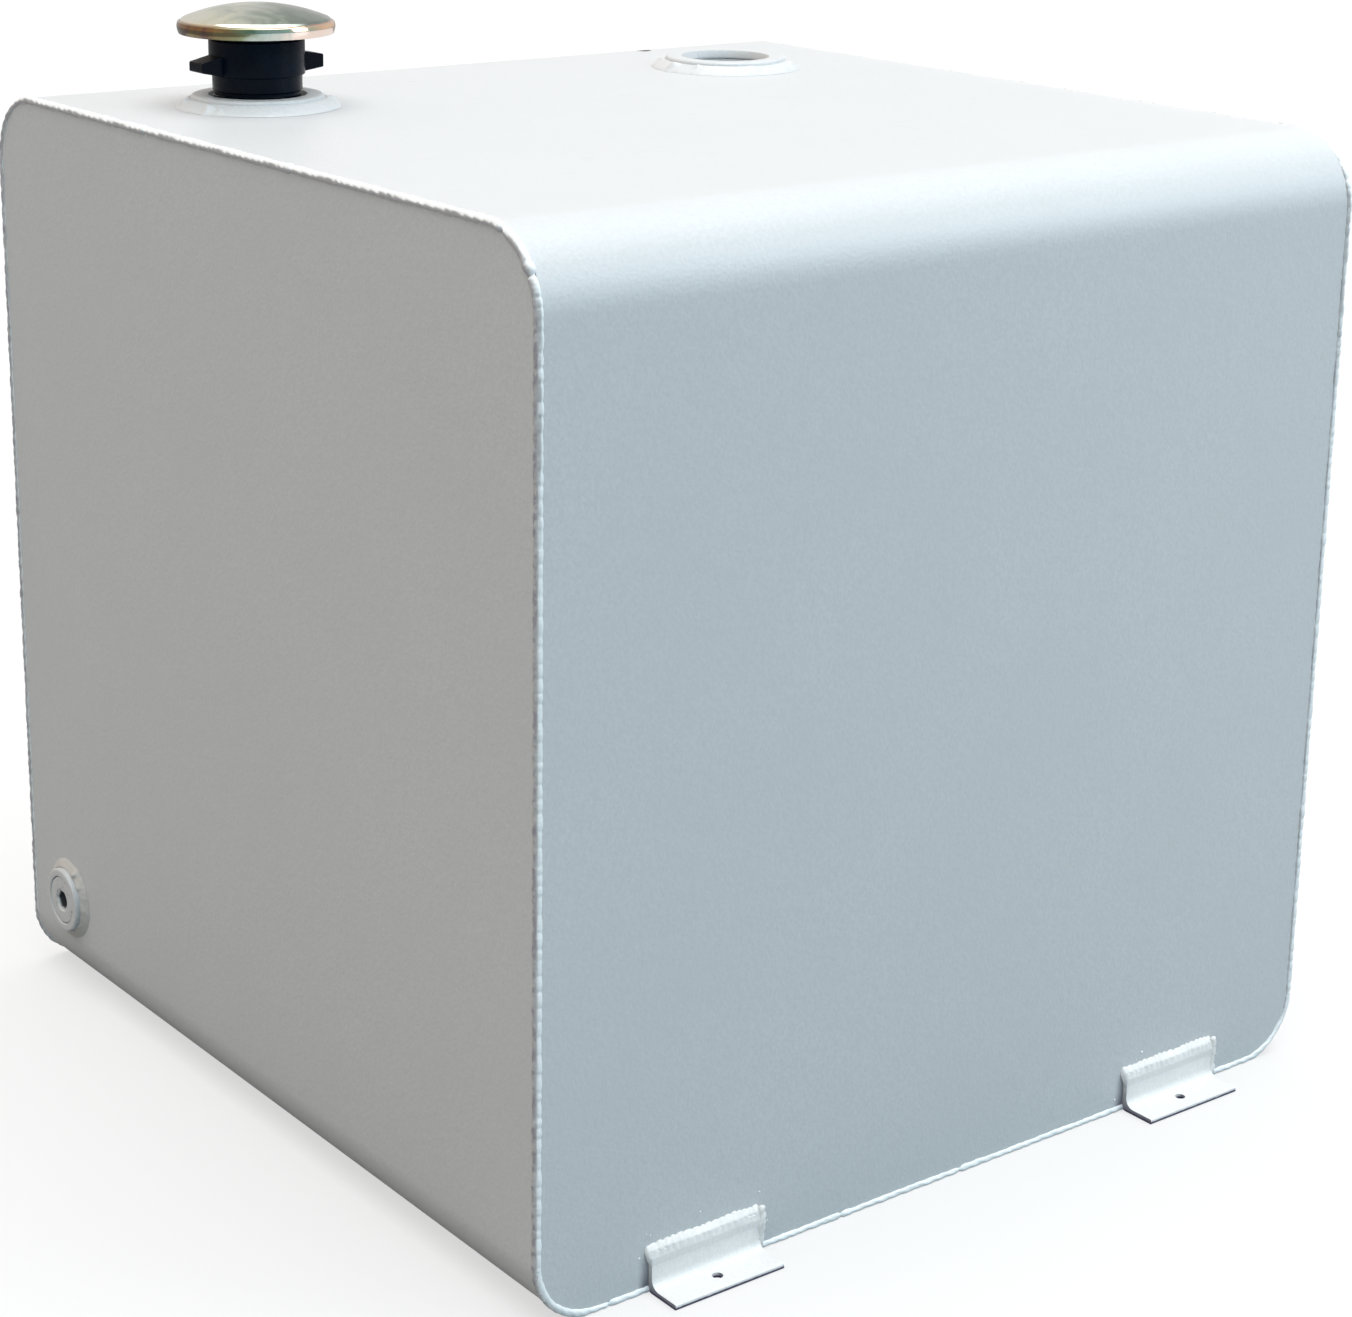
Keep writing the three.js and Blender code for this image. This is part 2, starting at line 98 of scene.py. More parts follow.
CAP_RADIUS = 49.4 * MM
CAP_LOW = 46 * MM
CAP_CREASE = 54.2 * MM
CAP_TOP = 64.39 * MM
CAP_METAL = 1.2 * MM
DOME_RADIUS = 121.3 * MM
DOME_EDGE = 44.8 * MM  # where the dome turns down to the crease
SHOULDER_RADIUS = 5 * MM

BOSS_RADIUS = 22 * MM
BOSS_SPIGOT = 19 * MM
BOSS_RISE = 7 * MM
BOSS_DEPTH = 9 * MM
BOSS_BEAD = (6.7 * MM, 4.7 * MM)
PLUG_BORE = 13.3 * MM
PLUG_PITCH = 2.117 * MM

LEG = 25.4 * MM  # the brackets' angle section
LEG_THICKNESS = 3.2 * MM
LEG_BACK = 0.3 * MM  # from the sheet to the leg
LEG_FILLET = 6 * MM

ROUND = 128  # sides of a large circle
SHARP = 35 * DEG  # edges that turn more than this stay crisp
SHARP_ON_WELDS = 85 * DEG

SUBPARTS = {part["node"]: part["material_slot"] for part in record["subparts"]}
BODY_OF = {node: body for body, nodes in record["behaviour"]["bodies"].items() for node in nodes}

# ---- Mesh tools ----


class Shape:
    """The points and faces of one piece, gathered from grids of points."""

    def __init__(self):
        self.points = []
        self.faces = []
        self.count = 0

    def grid(self, rows, wrap_rows=False):
        """A surface through closed rows of points. `wrap_rows` joins the last row to the first one."""
        rows = np.asarray(rows, float)
        high, wide = rows.shape[:2]
        index = np.arange(high * wide).reshape(high, wide) + self.count
        if wrap_rows:
            index = np.vstack([index, index[:1]])
        index = np.hstack([index, index[:, :1]])
        corners = (index[:-1, :-1], index[:-1, 1:], index[1:, 1:], index[1:, :-1])
        self.faces += np.stack([c.ravel() for c in corners], axis=1).tolist()
        self.points.append(rows.reshape(-1, 3))
        self.count += high * wide
        return self

    def face(self, points):
        """One flat face through points."""
        self.faces.append(list(range(self.count, self.count + len(points))))
        self.points.append(np.asarray(points, float))
        self.count += len(points)
        return self

    def add(self, other):
        """Takes in another shape's points and faces."""
        self.faces += [[i + self.count for i in face] for face in other.faces]
        self.points += other.points
        self.count += other.count

    def mesh(self, name):
        mesh = bpy.data.meshes.new(name)
        mesh.from_pydata(np.vstack(self.points).tolist(), [], self.faces)
        return mesh


def clean(mesh):
    """Joins points that coincide and turns the faces outward."""
    bm = bmesh.new()
    bm.from_mesh(mesh)
    bmesh.ops.remove_doubles(bm, verts=bm.verts, dist=1e-6)
    bmesh.ops.dissolve_degenerate(bm, edges=bm.edges, dist=1e-7)
    bmesh.ops.recalc_face_normals(bm, faces=bm.faces)
    bm.to_mesh(mesh)
    bm.free()


def piece(node, shape, place=Matrix(), cuts=(), joins=()):
    """The finished mesh that stands for one CAD node, with the node's body and material slot."""
    obj = solid(node + "_model", shape)
    for cutter in cuts:
        boolean(obj, cutter, "DIFFERENCE")
    for other in joins:
        boolean(obj, other, "UNION")
    obj.data.transform(place)
    if place.to_3x3().determinant() < 0:
        obj.data.flip_normals()
    obj.data.shade_smooth()
    obj.data.set_sharp_from_angle(angle=SHARP_ON_WELDS if "weld" in node else SHARP)
    slot = SUBPARTS[node]
    obj.data.materials.clear()
    obj.data.materials.append(FINISHES[slot])
    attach(obj, BODY_OF[node])
    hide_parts(node)
    return obj


def solid(name, shape):
    mesh = shape.mesh(name)
    clean(mesh)
    obj = bpy.data.objects.new(name, mesh)
    bpy.context.scene.collection.objects.link(obj)
    return obj


def boolean(obj, shape, operation):
    """Cuts or joins another closed shape, and keeps the result as the object's mesh."""
    tool = solid("tool", shape)
    modifier = obj.modifiers.new("boolean", "BOOLEAN")
    modifier.operation = operation
    modifier.solver = "EXACT"
    modifier.object = tool
    bpy.context.view_layer.update()
    finished = obj.evaluated_get(bpy.context.evaluated_depsgraph_get())
    result = bpy.data.meshes.new_from_object(finished)
    obj.modifiers.clear()
    obj.data = result
    bpy.data.objects.remove(tool)


# ---- Outlines ----


def rounded(corners, steps=6, closed=True):
    """Points of a flat outline. Each corner is (x, y, radius of its rounding)."""
    points = []
    last = len(corners) - 1
    for i, (x, y, radius) in enumerate(corners):
        corner = np.array((x, y))
        if radius <= 0 or (not closed and i in (0, last)):
            points.append(corner)
            continue
        before = np.array(corners[i - 1][:2]) - corner
        after = np.array(corners[(i + 1) % len(corners)][:2]) - corner
        before /= np.linalg.norm(before)
        after /= np.linalg.norm(after)
        half = math.acos(max(-1.0, min(1.0, float(before @ after)))) / 2
        centre = corner + (before + after) / np.linalg.norm(before + after) * radius / math.sin(half)
        start = corner + before * radius / math.tan(half) - centre
        end = corner + after * radius / math.tan(half) - centre
        turn = math.copysign(math.pi - 2 * half, start[0] * end[1] - start[1] * end[0])
        for k in range(steps + 1):
            c, s = math.cos(turn * k / steps), math.sin(turn * k / steps)
            points.append(centre + (start[0] * c - start[1] * s, start[0] * s + start[1] * c))
    return np.array(points)


def angles(sides=ROUND):
    return np.arange(sides) * 2 * math.pi / sides


def turned(profile, sides=ROUND):
    """Rows of points for a profile of (radius, height), turned about Z."""
    profile = np.asarray(profile, float)
    radius, height = profile[:, :1], profile[:, 1:2]
    turn = angles(sides)[None, :]
    return np.stack([radius * np.cos(turn), radius * np.sin(turn), height + 0 * turn], axis=-1)


def lathe(*stretches):
    """A closed solid of revolution. Its section is these stretches of rows, one after the other."""
    return Shape().grid(np.concatenate(stretches), wrap_rows=True)


def thread(radius, low, high, pitch, depth, samples=10):
    """Rows of a screw thread about Z, cut inwards for a negative depth, that fades out at both ends."""
    height = np.linspace(low, high, max(2, int((high - low) / pitch * samples)))[:, None]
    turn = angles()[None, :]
    phase = np.mod(height / pitch - turn / (2 * math.pi), 1)
    ridge = np.clip(np.abs(phase - 0.5) * 2.8 - 0.7, 0, 1)
    fade = np.clip(np.minimum(height - low, high - height) / pitch, 0, 1)
    r = radius + depth * fade * ridge
    return np.stack([r * np.cos(turn), r * np.sin(turn), height + 0 * turn], axis=-1)


def prism(outline, low, high):
    """A closed bar along Z with a flat outline."""
    outline = np.asarray(outline, float)
    ends = [np.column_stack([outline, np.full(len(outline), z)]) for z in (low, high)]
    return Shape().grid(ends).face(ends[0]).face(ends[1])


def rod(radius, low, high, x=0.0, y=0.0, sides=64):
    turn = angles(sides)
    circle = np.column_stack([x + radius * np.cos(turn), y + radius * np.sin(turn)])
    return prism(circle, low, high)


def moved(shape, matrix):
    m = np.array(matrix)
    shape.points = [p @ m[:3, :3].T + m[:3, 3] for p in shape.points]
    return shape


# ---- Welds ----


class Ripples:
    """The scales of a weld bead, uneven in length and height."""

    def __init__(self, length, pitch, seed, unevenness=0.3):
        rng = np.random.default_rng(seed)
        steps = 1 + unevenness * rng.uniform(-1, 1, max(3, round(length / pitch)))
        self.length = length
        self.edges = np.concatenate([[0], np.cumsum(steps)]) * length / steps.sum()
        self.heights = rng.uniform(0.55, 1, len(steps))

    def at(self, distance):
        """0 in the valleys, up to 1 on a scale."""
        distance = np.mod(distance, self.length)
        after = np.searchsorted(self.edges, distance, side="right")
        index = np.clip(after - 1, 0, len(self.heights) - 1)
        start, end = self.edges[index], self.edges[index + 1]
        share = (distance - start) / (end - start)
        return self.heights[index] * (1 - np.abs(2 * share ** 1.3 - 1) ** 2.5)


def wander(distance, seed, wavelength):
    """A smooth uneven value between about -1 and 1. It repeats over any whole number of wavelengths."""
    phases = np.random.default_rng(seed).uniform(0, 2 * math.pi, 3)
    turn = distance / wavelength * 2 * math.pi
    waves = [np.sin(turn * (k + 1) + phases[k]) / (k + 1) for k in range(3)]
    return sum(waves) / 1.6


def along(path):
    """Distance from a path's start at each of its points."""
    steps = np.linalg.norm(np.diff(path, axis=0), axis=1)
    return np.concatenate([[0], np.cumsum(steps)])


def resampled(path, step):
    """The same path with points a step apart."""
    distance = along(path)
    wanted = np.linspace(0, distance[-1], max(2, int(distance[-1] / step)))
    return np.stack([np.interp(wanted, distance, path[:, k]) for k in range(path.shape[1])], axis=1)


def bead_size(s, section, pitch, seed, lumps, depth, tilt):
    """A bead's size at each distance and each point of its section, as a share of the full one."""
    turn = np.arctan2(section[:, 1], section[:, 0])[None, :]
    length = s[-1, 0]
    coarse = Ripples(length, pitch, seed, 0.4)
    fine = Ripples(length, 0.32 * pitch, seed + 7)
    scale = coarse.at(s + tilt * pitch * np.cos(turn) + 0.35 * pitch * np.sin(turn) ** 2)
    strands = np.cos(3 * turn + 1.5 * wander(s, seed + 2, 61 * MM))
    size = 0.95 - depth * (1 - scale) - 0.03 * (1 - fine.at(s)) + 0.05 * strands
    return np.minimum(size + lumps * (wander(s, seed + 1, 37 * MM) - 0.5) / 2, 1)


def stopped(size, away):
    """A crater where the welder stopped, and the swelling where they started again."""
    size = size * (1 - 0.38 * np.exp(-((away / (1.2 * MM)) ** 2)))
    return size + 0.14 * np.exp(-(((away - 4.5 * MM) / (3 * MM)) ** 2))


def bead(path, plane_normal, section, pitch, seed, lumps=0.1, depth=0.2, tilt=0.6, stops=(), calm=None):
    """A rippled weld along a flat path. Its section is points of (across in the plane, along the normal).

    `depth` is how deep the ripples are, as a share of the section, and `tilt` is how far they lean, as a
    share of the pitch. `stops` are distances from the path's end where the welder stopped and started
    again. The ripples fade out towards `calm` across.
    """
    path = resampled(np.asarray(path, float), 0.7 * MM)
    distance = along(path)
    normal = np.asarray(plane_normal, float)
    tangent = np.gradient(path, distance, axis=0)
    tangent /= np.linalg.norm(tangent, axis=1)[:, None]
    across = np.cross(tangent, normal)
    section = np.asarray(section, float)
    s = distance[:, None]
    size = bead_size(s, section, pitch, seed, lumps, depth, tilt)
    for stop in stops:
        size = stopped(size, distance[-1] - s - stop)
    if calm:
        size = 1 - (1 - size) * np.clip(1 - section[None, :, 0] / calm, 0, 1)
    end = np.minimum(s, distance[-1] - s) / min(np.abs(section).max(), 3 * MM)
    size = size * np.sqrt(np.clip(1 - np.clip(1 - end, 0, 1) ** 2, 0, 1))
    wide = size * section[None, :, 0]
    tall = size * section[None, :, 1]
    return path[:, None, :] + wide[..., None] * across[:, None, :] + tall[..., None] * normal


def oval(half_width, half_height, sides=18):
    turn = angles(sides)
    return np.column_stack([half_width * np.cos(turn), half_height * np.sin(turn)])


def blobs(s, share, length, count, seed):
    """Uneven drops on a weld, as a height from 0 to about 1 at each distance and share of its width."""
    rng = np.random.default_rng(seed)
    total = 0 * s
    for _ in range(count):
        away = np.mod(s - rng.uniform(0, length) + length / 2, length) - length / 2
        wide = rng.uniform(1.3, 2.8) * MM
        size = rng.uniform(0.4, 1)
        aside = (share - rng.uniform(0.1, 0.9)) / 0.25
        total = total + size * np.exp(-((away / wide) ** 2) - aside ** 2)
    return np.minimum(total, 1.2)


def restart_lumps(turn, restarts):
    """1 at each angle where the welder stopped and started again, and 0 away from them."""
    lump = 0 * turn
    for at in restarts:
        away = np.mod(turn - at * DEG + math.pi, 2 * math.pi) - math.pi
        lump = lump + np.exp(-((away / (3.5 * DEG)) ** 2))
    return np.clip(lump, 0, 1)


def ring_bead(radius, reach, height, seed, restarts):
    """A fillet weld round a flange or boss, with a lump at each of the `restarts` angles."""
    steps = 22
    length = 2 * math.pi * (radius + reach / 2)
    ripples = Ripples(length, 4.6 * MM, seed, 0.45)
    sides = 320
    turn = angles(sides)[None, :]
    share = (np.arange(steps + 1) / steps)[:, None]  # 0 at the toe on the sheet, 1 on the wall
    s = turn / (2 * math.pi) * length
    scale = ripples.at(s + 6 * MM * (share - 0.5) ** 2)
    uneven = wander(s, seed + 1, length / 5)
    lump = restart_lumps(turn, restarts)
    swell = np.sin(math.pi * share)
    reach_here = reach * (0.87 + 0.05 * uneven + 0.03 * scale * (1 - share) + 0.08 * lump * (1 - share))
    r = radius - 0.4 * MM + (reach_here + 0.4 * MM) * (1 - share) ** 1.1
    groove = np.exp(-(((share - 0.9) / 0.07) ** 2))
    z = height * (0.96 * share ** 0.8 + 0.04 * uneven * swell - 0.2 * groove)
    drops = blobs(s + 0 * share, share + 0 * s, length, int(length / (15 * MM)), seed + 2)
    lump = lump * np.exp(-(((share - 0.4) / 0.28) ** 2))
    z = z + (0.12 * MM * (scale - 0.6) + 2.4 * MM * lump + 1.3 * MM * drops) * swell
    z = np.maximum(z, 0.05 * MM + 0 * turn)
    top = np.stack([r * np.cos(turn), r * np.sin(turn), z], axis=-1)
    root = turned([(radius - 1.2 * MM, height * 0.8), (radius - 1.2 * MM, -0.3 * MM)], sides)
    foot = turned([(radius + 0.5 * reach, -0.3 * MM)], sides)
    return lathe(top, root, foot)


def spatter(shape, spots, normal, seed):
    """Adds small drops of weld metal, stuck on a sheet at the given points."""
    rng = np.random.default_rng(seed)
    turn = np.array(Vector(normal).to_track_quat("Z", "Y").to_matrix())
    arc = np.array((180, 135, 90, 60, 30, 0)) * DEG
    for spot in spots:
        radius = rng.uniform(0.45, 1.1) * MM
        profile = np.column_stack([radius * np.sin(arc), 0.55 * radius * np.cos(arc)])
        shape.grid(turned(profile, 10) @ turn.T + np.asarray(spot))


# ---- Materials ----


def add_node(tree, kind, inputs=None, **settings):
    """A shader node. Each input is a constant, or the output of another node that feeds it."""
    made = tree.nodes.new("ShaderNode" + kind)
    for key, value in settings.items():
        setattr(made, key, value)
    for key, value in (inputs or {}).items():
        if isinstance(value, bpy.types.NodeSocket):
            tree.links.new(value, made.inputs[key])
        else:
            made.inputs[key].default_value = value
    return made


class Finish:
    """A procedural material. Its nodes read object coordinates, which are the frame's metres."""

    def __init__(self, name, **constants):
        self.material = bpy.data.materials.new(name)
        self.material.use_nodes = True
        self.tree = self.material.node_tree
        self.shader = self.tree.nodes["Principled BSDF"]
        self.coordinates = self.tree.nodes.new("ShaderNodeTexCoord").outputs["Object"]
        self.bumps = None
        for socket, value in constants.items():
            self.shader.inputs[socket.replace("_", " ")].default_value = value

    def node(self, kind, inputs=None, **settings):
        return add_node(self.tree, kind, inputs, **settings)

    def set(self, socket, output):
        self.tree.links.new(output, self.shader.inputs[socket])

    def color(self):
        """The output that feeds the base colour so far."""
        return self.shader.inputs["Base Color"].links[0].from_socket

    def noise(self, size, detail=2.0, roughness=0.5, stretch=None, distortion=0.0):
        """Noise whose features are about `size` metres across."""
        where = self.coordinates
        if stretch:
            where = self.node("Mapping", {"Vector": where, "Scale": stretch}).outputs["Vector"]
        inputs = {"Vector": where, "Scale": 1 / size, "Detail": detail, "Roughness": roughness}
        return self.node("TexNoise", {**inputs, "Distortion": distortion}).outputs["Fac"]

    def cells(self, size):
        inputs = {"Vector": self.coordinates, "Scale": 1 / size}
        return self.node("TexVoronoi", inputs).outputs["Distance"]

    def math(self, operation, a, b=0.0, c=0.0):
        return self.node("Math", {0: a, 1: b, 2: c}, operation=operation).outputs[0]

    def times(self, a, b):
        return self.math("MULTIPLY", a, b)

    def plus(self, a, b):
        return self.math("ADD", a, b)

    def minus(self, a, b):
        return self.math("SUBTRACT", a, b)

    def vector(self, operation, a, b):
        return self.node("VectorMath", {0: a, 1: b}, operation=operation).outputs[0]

    def length(self, vector):
        return self.node("VectorMath", {0: vector}, operation="LENGTH").outputs["Value"]

    def span(self, value, low, high, to_low=0.0, to_high=1.0):
        """A value mapped from one span to another and clamped there."""
        inputs = {"Value": value, "From Min": low, "From Max": high}
        inputs.update({"To Min": to_low, "To Max": to_high})
        return self.node("MapRange", inputs).outputs["Result"]

    def mix(self, share, a, b, blend="MIX"):
        """A blend of colours: `a` where the share is 0, and `b` on it where the share is 1."""
        made = self.node("Mix", {0: share, 6: a, 7: b}, data_type="RGBA", blend_type=blend)
        return made.outputs[2]

    def ramp(self, value, stops):
        made = self.node("ValToRGB", {"Fac": value})
        elements = made.color_ramp.elements
        while len(elements) < len(stops):
            elements.new(0.5)
        for element, (position, color) in zip(elements, stops):
            element.position = position
            element.color = color
        return made.outputs["Color"]

    def bump(self, height, depth, strength=1.0):
        """Relief of a height from 0 to 1 that is `depth` metres deep, on top of any before it."""
        inputs = {"Height": height, "Distance": depth, "Strength": strength}
        if self.bumps:
            inputs["Normal"] = self.bumps
        self.bumps = self.node("Bump", inputs).outputs["Normal"]
        self.set("Normal", self.bumps)

    def axes(self, vector=None):
        return self.node("SeparateXYZ", {"Vector": vector or self.coordinates}).outputs


def grey(value, warmth=0.0):
    return (value * (1 + warmth), value, value * (1 - warmth), 1)


def tinted(color, red, green, blue):
    return (color[0] * red, color[1] * green, color[2] * blue, 1)


WHITE = (0.60, 0.61, 0.615, 1)
# The tank's enamel made lighter on the welds: a painted highlight.
LIT_WELD_WHITE = (0.88, 0.90, 0.90, 1)
# A slightly lighter copy of the tank's enamel on the flanges' welds: painted light.
LIT_RING_WHITE = (0.63, 0.64, 0.645, 1)
# A darker, warmer copy of the tank's enamel on the drain's weld: painted shade.
SHADED_DRAIN_WELD_WHITE = (0.53, 0.51, 0.485, 1)
BRACKET_WHITE = (0.80, 0.785, 0.765, 1)
BRACKET_WELD_WHITE = (0.81, 0.795, 0.775, 1)
WELD_PEEL = 0.8  # the orange peel's depth on a weld, against 1 on the sheets
# Painted shade on the front sheet beside a bracket's left end.
PAINTED_GAP_SHADE = (0.07, 0.055, 0.10, 1)
# Painted shade in pockets at a weld's toe.
WELD_TOE_SHADE = (0.27, 0.25, 0.30, 1)
# Painted shade along a bracket's foot at the floor and low on its ends.
PAINTED_BRACKET_SHADE = (0.06, 0.045, 0.10, 1)

CHIP_AT = (0.1868, 0.2620, TOP)
CHIP_RADIUS = 5.9 * MM


def enamel(name, base=WHITE, peel=1.0):
    """White spray enamel: fine orange peel, a faint mottle and light handling marks."""
    look = Finish(name, Metallic=0.0, IOR=1.5)
    mottle = look.noise(2.2 * MM, detail=3)
    cloud = look.noise(90 * MM, detail=3)
    marks = look.span(look.noise(24 * MM, detail=6, roughness=0.65), 0.62, 0.78)
    worn = tinted(base, 0.93, 0.925, 0.9)
    dark = tinted(base, 0.94, 0.94, 0.94)
    color = look.mix(look.span(mottle, 0.38, 0.62), dark, base)
    color = look.mix(look.span(cloud, 0.3, 0.75, 0, 0.6), color, dark)
    color = look.mix(look.times(marks, 0.5), color, worn)
    look.set("Base Color", color)
    rough = look.span(mottle, 0.3, 0.7, 0.34, 0.46)
    look.set("Roughness", look.plus(rough, look.times(marks, 0.1)))
    look.bump(look.noise(1.9 * MM, detail=2), 0.22 * MM, 0.8 * peel)
    look.bump(look.noise(6.5 * MM, detail=1), 0.2 * MM, 0.5 * peel)
    return look


def chip(look):
    """1 on the ragged chip near the top's back edge, and 0 away from it."""
    away = look.vector("SUBTRACT", look.coordinates, CHIP_AT)
    away = look.length(look.vector("MULTIPLY", away, (1.15, 1.0, 1)))
    ragged = look.span(look.noise(4 * MM, detail=3), 0.2, 0.8, -2 * MM, 2 * MM)
    soft = 0.5 * MM
    return look.span(look.plus(away, ragged), CHIP_RADIUS + soft, CHIP_RADIUS - soft)


def painted_gap_shade(look, left_end):
    """Painted shade, up to 0.75 on the front sheet, low down beside a bracket's left end."""
    x, y, z = look.axes()
    front = look.span(y, -HALF + 2 * MM, -HALF + 1 * MM)
    aside = look.math("ABSOLUTE", look.minus(x, left_end - 1.5 * MM))
    low = look.span(z, 24 * MM, 3 * MM, 0, 0.75)
    near = look.times(look.span(aside, 6 * MM, 1 * MM), low)
    return look.times(near, front)


def tank_enamel():
    """The enamel on the tank's sheets, with a chip and with painted shade beside the front brackets' left
    ends.
    """
    look = enamel("tank_paint")
    painted = look.mix(chip(look), look.color(), grey(0.03))
    # Painted shade beside each front bracket's left end.
    for node in ("front_left_bracket", "front_right_bracket"):
        painted = look.mix(painted_gap_shade(look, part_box(node)[0].x), painted, PAINTED_GAP_SHADE)
    look.set("Base Color", painted)
    return look


def painted_left_shade(look, facing):
    """Painted shade on a weld: patches on what turns left, high up, and all that faces left."""
    high = look.span(look.axes()[2], 440 * MM, 490 * MM)
    patches = look.span(look.noise(11 * MM), 0.6, 0.5, 0.3, 1)
    turned_left = look.times(look.span(facing[0], 0.2, -0.3), high)
    # The share of painted shade.
    thin = look.times(turned_left, patches)
    thin = look.math("MAXIMUM", thin, look.span(facing[0], -0.5, -0.75))
    return look.times(thin, look.span(facing[2], 0.5, 0.2))


def painted_toe_shade(look, facing):
    """Painted shade at a weld's toe on the left side: in pockets, but evenly along the top."""
    pocket = look.span(look.noise(4.6 * MM, detail=3), 0.44, 0.58, 0.1, 0.75)
    on_top = look.span(look.axes()[2], TOP - 30 * MM, TOP - 10 * MM)
    pocket = look.math("MULTIPLY_ADD", look.minus(0.32, pocket), on_top, pocket)
    toe = look.span(facing[0], -0.72, -0.9)
    upright = look.span(facing[2], 0.4, 0.15)
    return look.times(look.times(toe, upright), pocket)


def weld_enamel():
    """The same enamel on a weld, lighter than on the sheets as a painted highlight, with painted shade
    where it faces left and at its toe.
    """
    look = enamel("painted_weld", LIT_WELD_WHITE, WELD_PEEL)
    facing = look.axes(look.node("NewGeometry").outputs["Normal"])
    # Painted shade: the weld turns grey where it faces left.
    painted = look.mix(painted_left_shade(look, facing), look.color(), grey(0.52))
    # Painted shade in pockets at the weld's toe.
    look.set("Base Color", look.mix(painted_toe_shade(look, facing), painted, WELD_TOE_SHADE))
    return look


def bracket_enamel():
    """The same enamel, with painted shade along the foot's edges at the floor and low on the leg's ends.
    """
    look = enamel("bracket_enamel", BRACKET_WHITE)
    height = look.axes()[2]
    facing = look.axes(look.node("NewGeometry").outputs["True Normal"])
    steep = look.span(look.math("ABSOLUTE", facing[2]), 0.35, 0.6, 1, 0)
    uneven = look.plus(height, look.span(look.noise(3 * MM), 0, 1, -0.4 * MM, 0.4 * MM))
    # Painted shade: the foot's steep edges along the floor, and the leg's ends low down.
    edge = look.times(steep, look.span(uneven, 1.3 * MM, 1.8 * MM, 1, 0))
    end = look.span(look.math("ABSOLUTE", facing[0]), 0.6, 0.9)
    end_shade = look.times(end, look.span(uneven, 2 * MM, 19 * MM, 0.75, 0))
    shade_mask = look.math("MAXIMUM", edge, end_shade)
    look.set("Base Color", look.mix(shade_mask, look.color(), PAINTED_BRACKET_SHADE))
    return look


# The plating's colours, from the film's thin side to its thick one. Their tints are the film's own, and
# their light and dark are partly painted reflection: the rim is darker on the left and lighter on the
# right, and the dome the other way.
RIM_FILM_AND_REFLECTION = (
    (0.0, (0.14, 0.08, 0.09, 1)),
    (0.2, (0.22, 0.17, 0.09, 1)),
    (0.36, (0.26, 0.30, 0.17, 1)),
    (0.54, (0.52, 0.58, 0.52, 1)),
    (0.7, (0.90, 0.75, 0.65, 1)),
    (1.0, (0.92, 0.66, 0.58, 1)),
)
DOME_FILM_AND_REFLECTION = (
    (0.0, (0.93, 0.94, 0.92, 1)),
    (0.28, (0.85, 0.88, 0.74, 1)),
    (0.44, (0.64, 0.70, 0.63, 1)),
    (0.62, (0.34, 0.41, 0.35, 1)),
    (0.8, (0.27, 0.32, 0.28, 1)),
    (1.0, (0.46, 0.47, 0.44, 1)),
)
STRAW = (1.7, 0.92, 0.66, 1)  # multiplies the colour on the rim's rounded edge


def film_and_reflection_share(look, centre):
    """A share from 0 to 1 that picks the colours, partly the film's thickness and partly painted
    reflection, growing unevenly to the right and the front.
    """
    x, y, _ = look.axes()
    side = look.times(look.minus(x, centre.x), 0.8 / CAP_RADIUS)
    front = look.times(look.minus(y, centre.y), -0.35 / CAP_RADIUS)
    cloud = look.span(look.noise(26 * MM, detail=3, distortion=0.6), 0.25, 0.75, -0.45, 0.45)
    return look.span(look.plus(look.plus(side, front), cloud), -1, 1)


def spun_rings(look, centre):
    """Fine rings round the cap's axis, from spinning the metal."""
    spoke = look.vector("SUBTRACT", look.coordinates, (centre.x, centre.y, 0))
    radius = look.length(look.vector("MULTIPLY", spoke, (1, 1, 0)))
    inputs = {"W": radius, "Scale": 1 / (0.5 * MM), "Detail": 2.0}
    return look.node("TexNoise", inputs, noise_dimensions="1D").outputs["Fac"]


def plated():
    """Bright zinc under a thin passivate film that shifts from olive to straw and pink, with painted
    reflection in its colours.
    """
    look = Finish("plated_steel", Metallic=1.0, IOR=1.5)
    centre = middle("cap_dome")
    film = film_and_reflection_share(look, centre)
    crease = TOP + CAP_CREASE
    on_dome = look.span(look.axes()[2], crease - 1.2 * MM, crease + 0.4 * MM)
    # The colours' light and dark are partly painted reflection.
    color = look.mix(on_dome, look.ramp(film, RIM_FILM_AND_REFLECTION), look.ramp(film, DOME_FILM_AND_REFLECTION))
    facing = look.axes(look.node("NewGeometry").outputs["Normal"])[2]
    straw = look.times(look.span(facing, 0.05, 0.15), look.span(facing, 0.62, 0.45))
    straw = look.times(straw, look.span(film, 0.3, 0.5, 0.25, 1))
    color = look.mix(straw, color, STRAW, "MULTIPLY")
    speck = look.span(look.noise(1.6 * MM, detail=4), 0.6, 0.75, 0, 0.35)
    look.set("Base Color", look.mix(speck, color, grey(0.38, 0.05)))
    look.set("Roughness", look.span(look.noise(14 * MM, detail=5), 0.3, 0.7, 0.07, 0.17))
    look.bump(spun_rings(look, centre), 0.02 * MM, 0.25)
    look.bump(look.noise(9 * MM, detail=2), 0.12 * MM, 0.3)
    return look


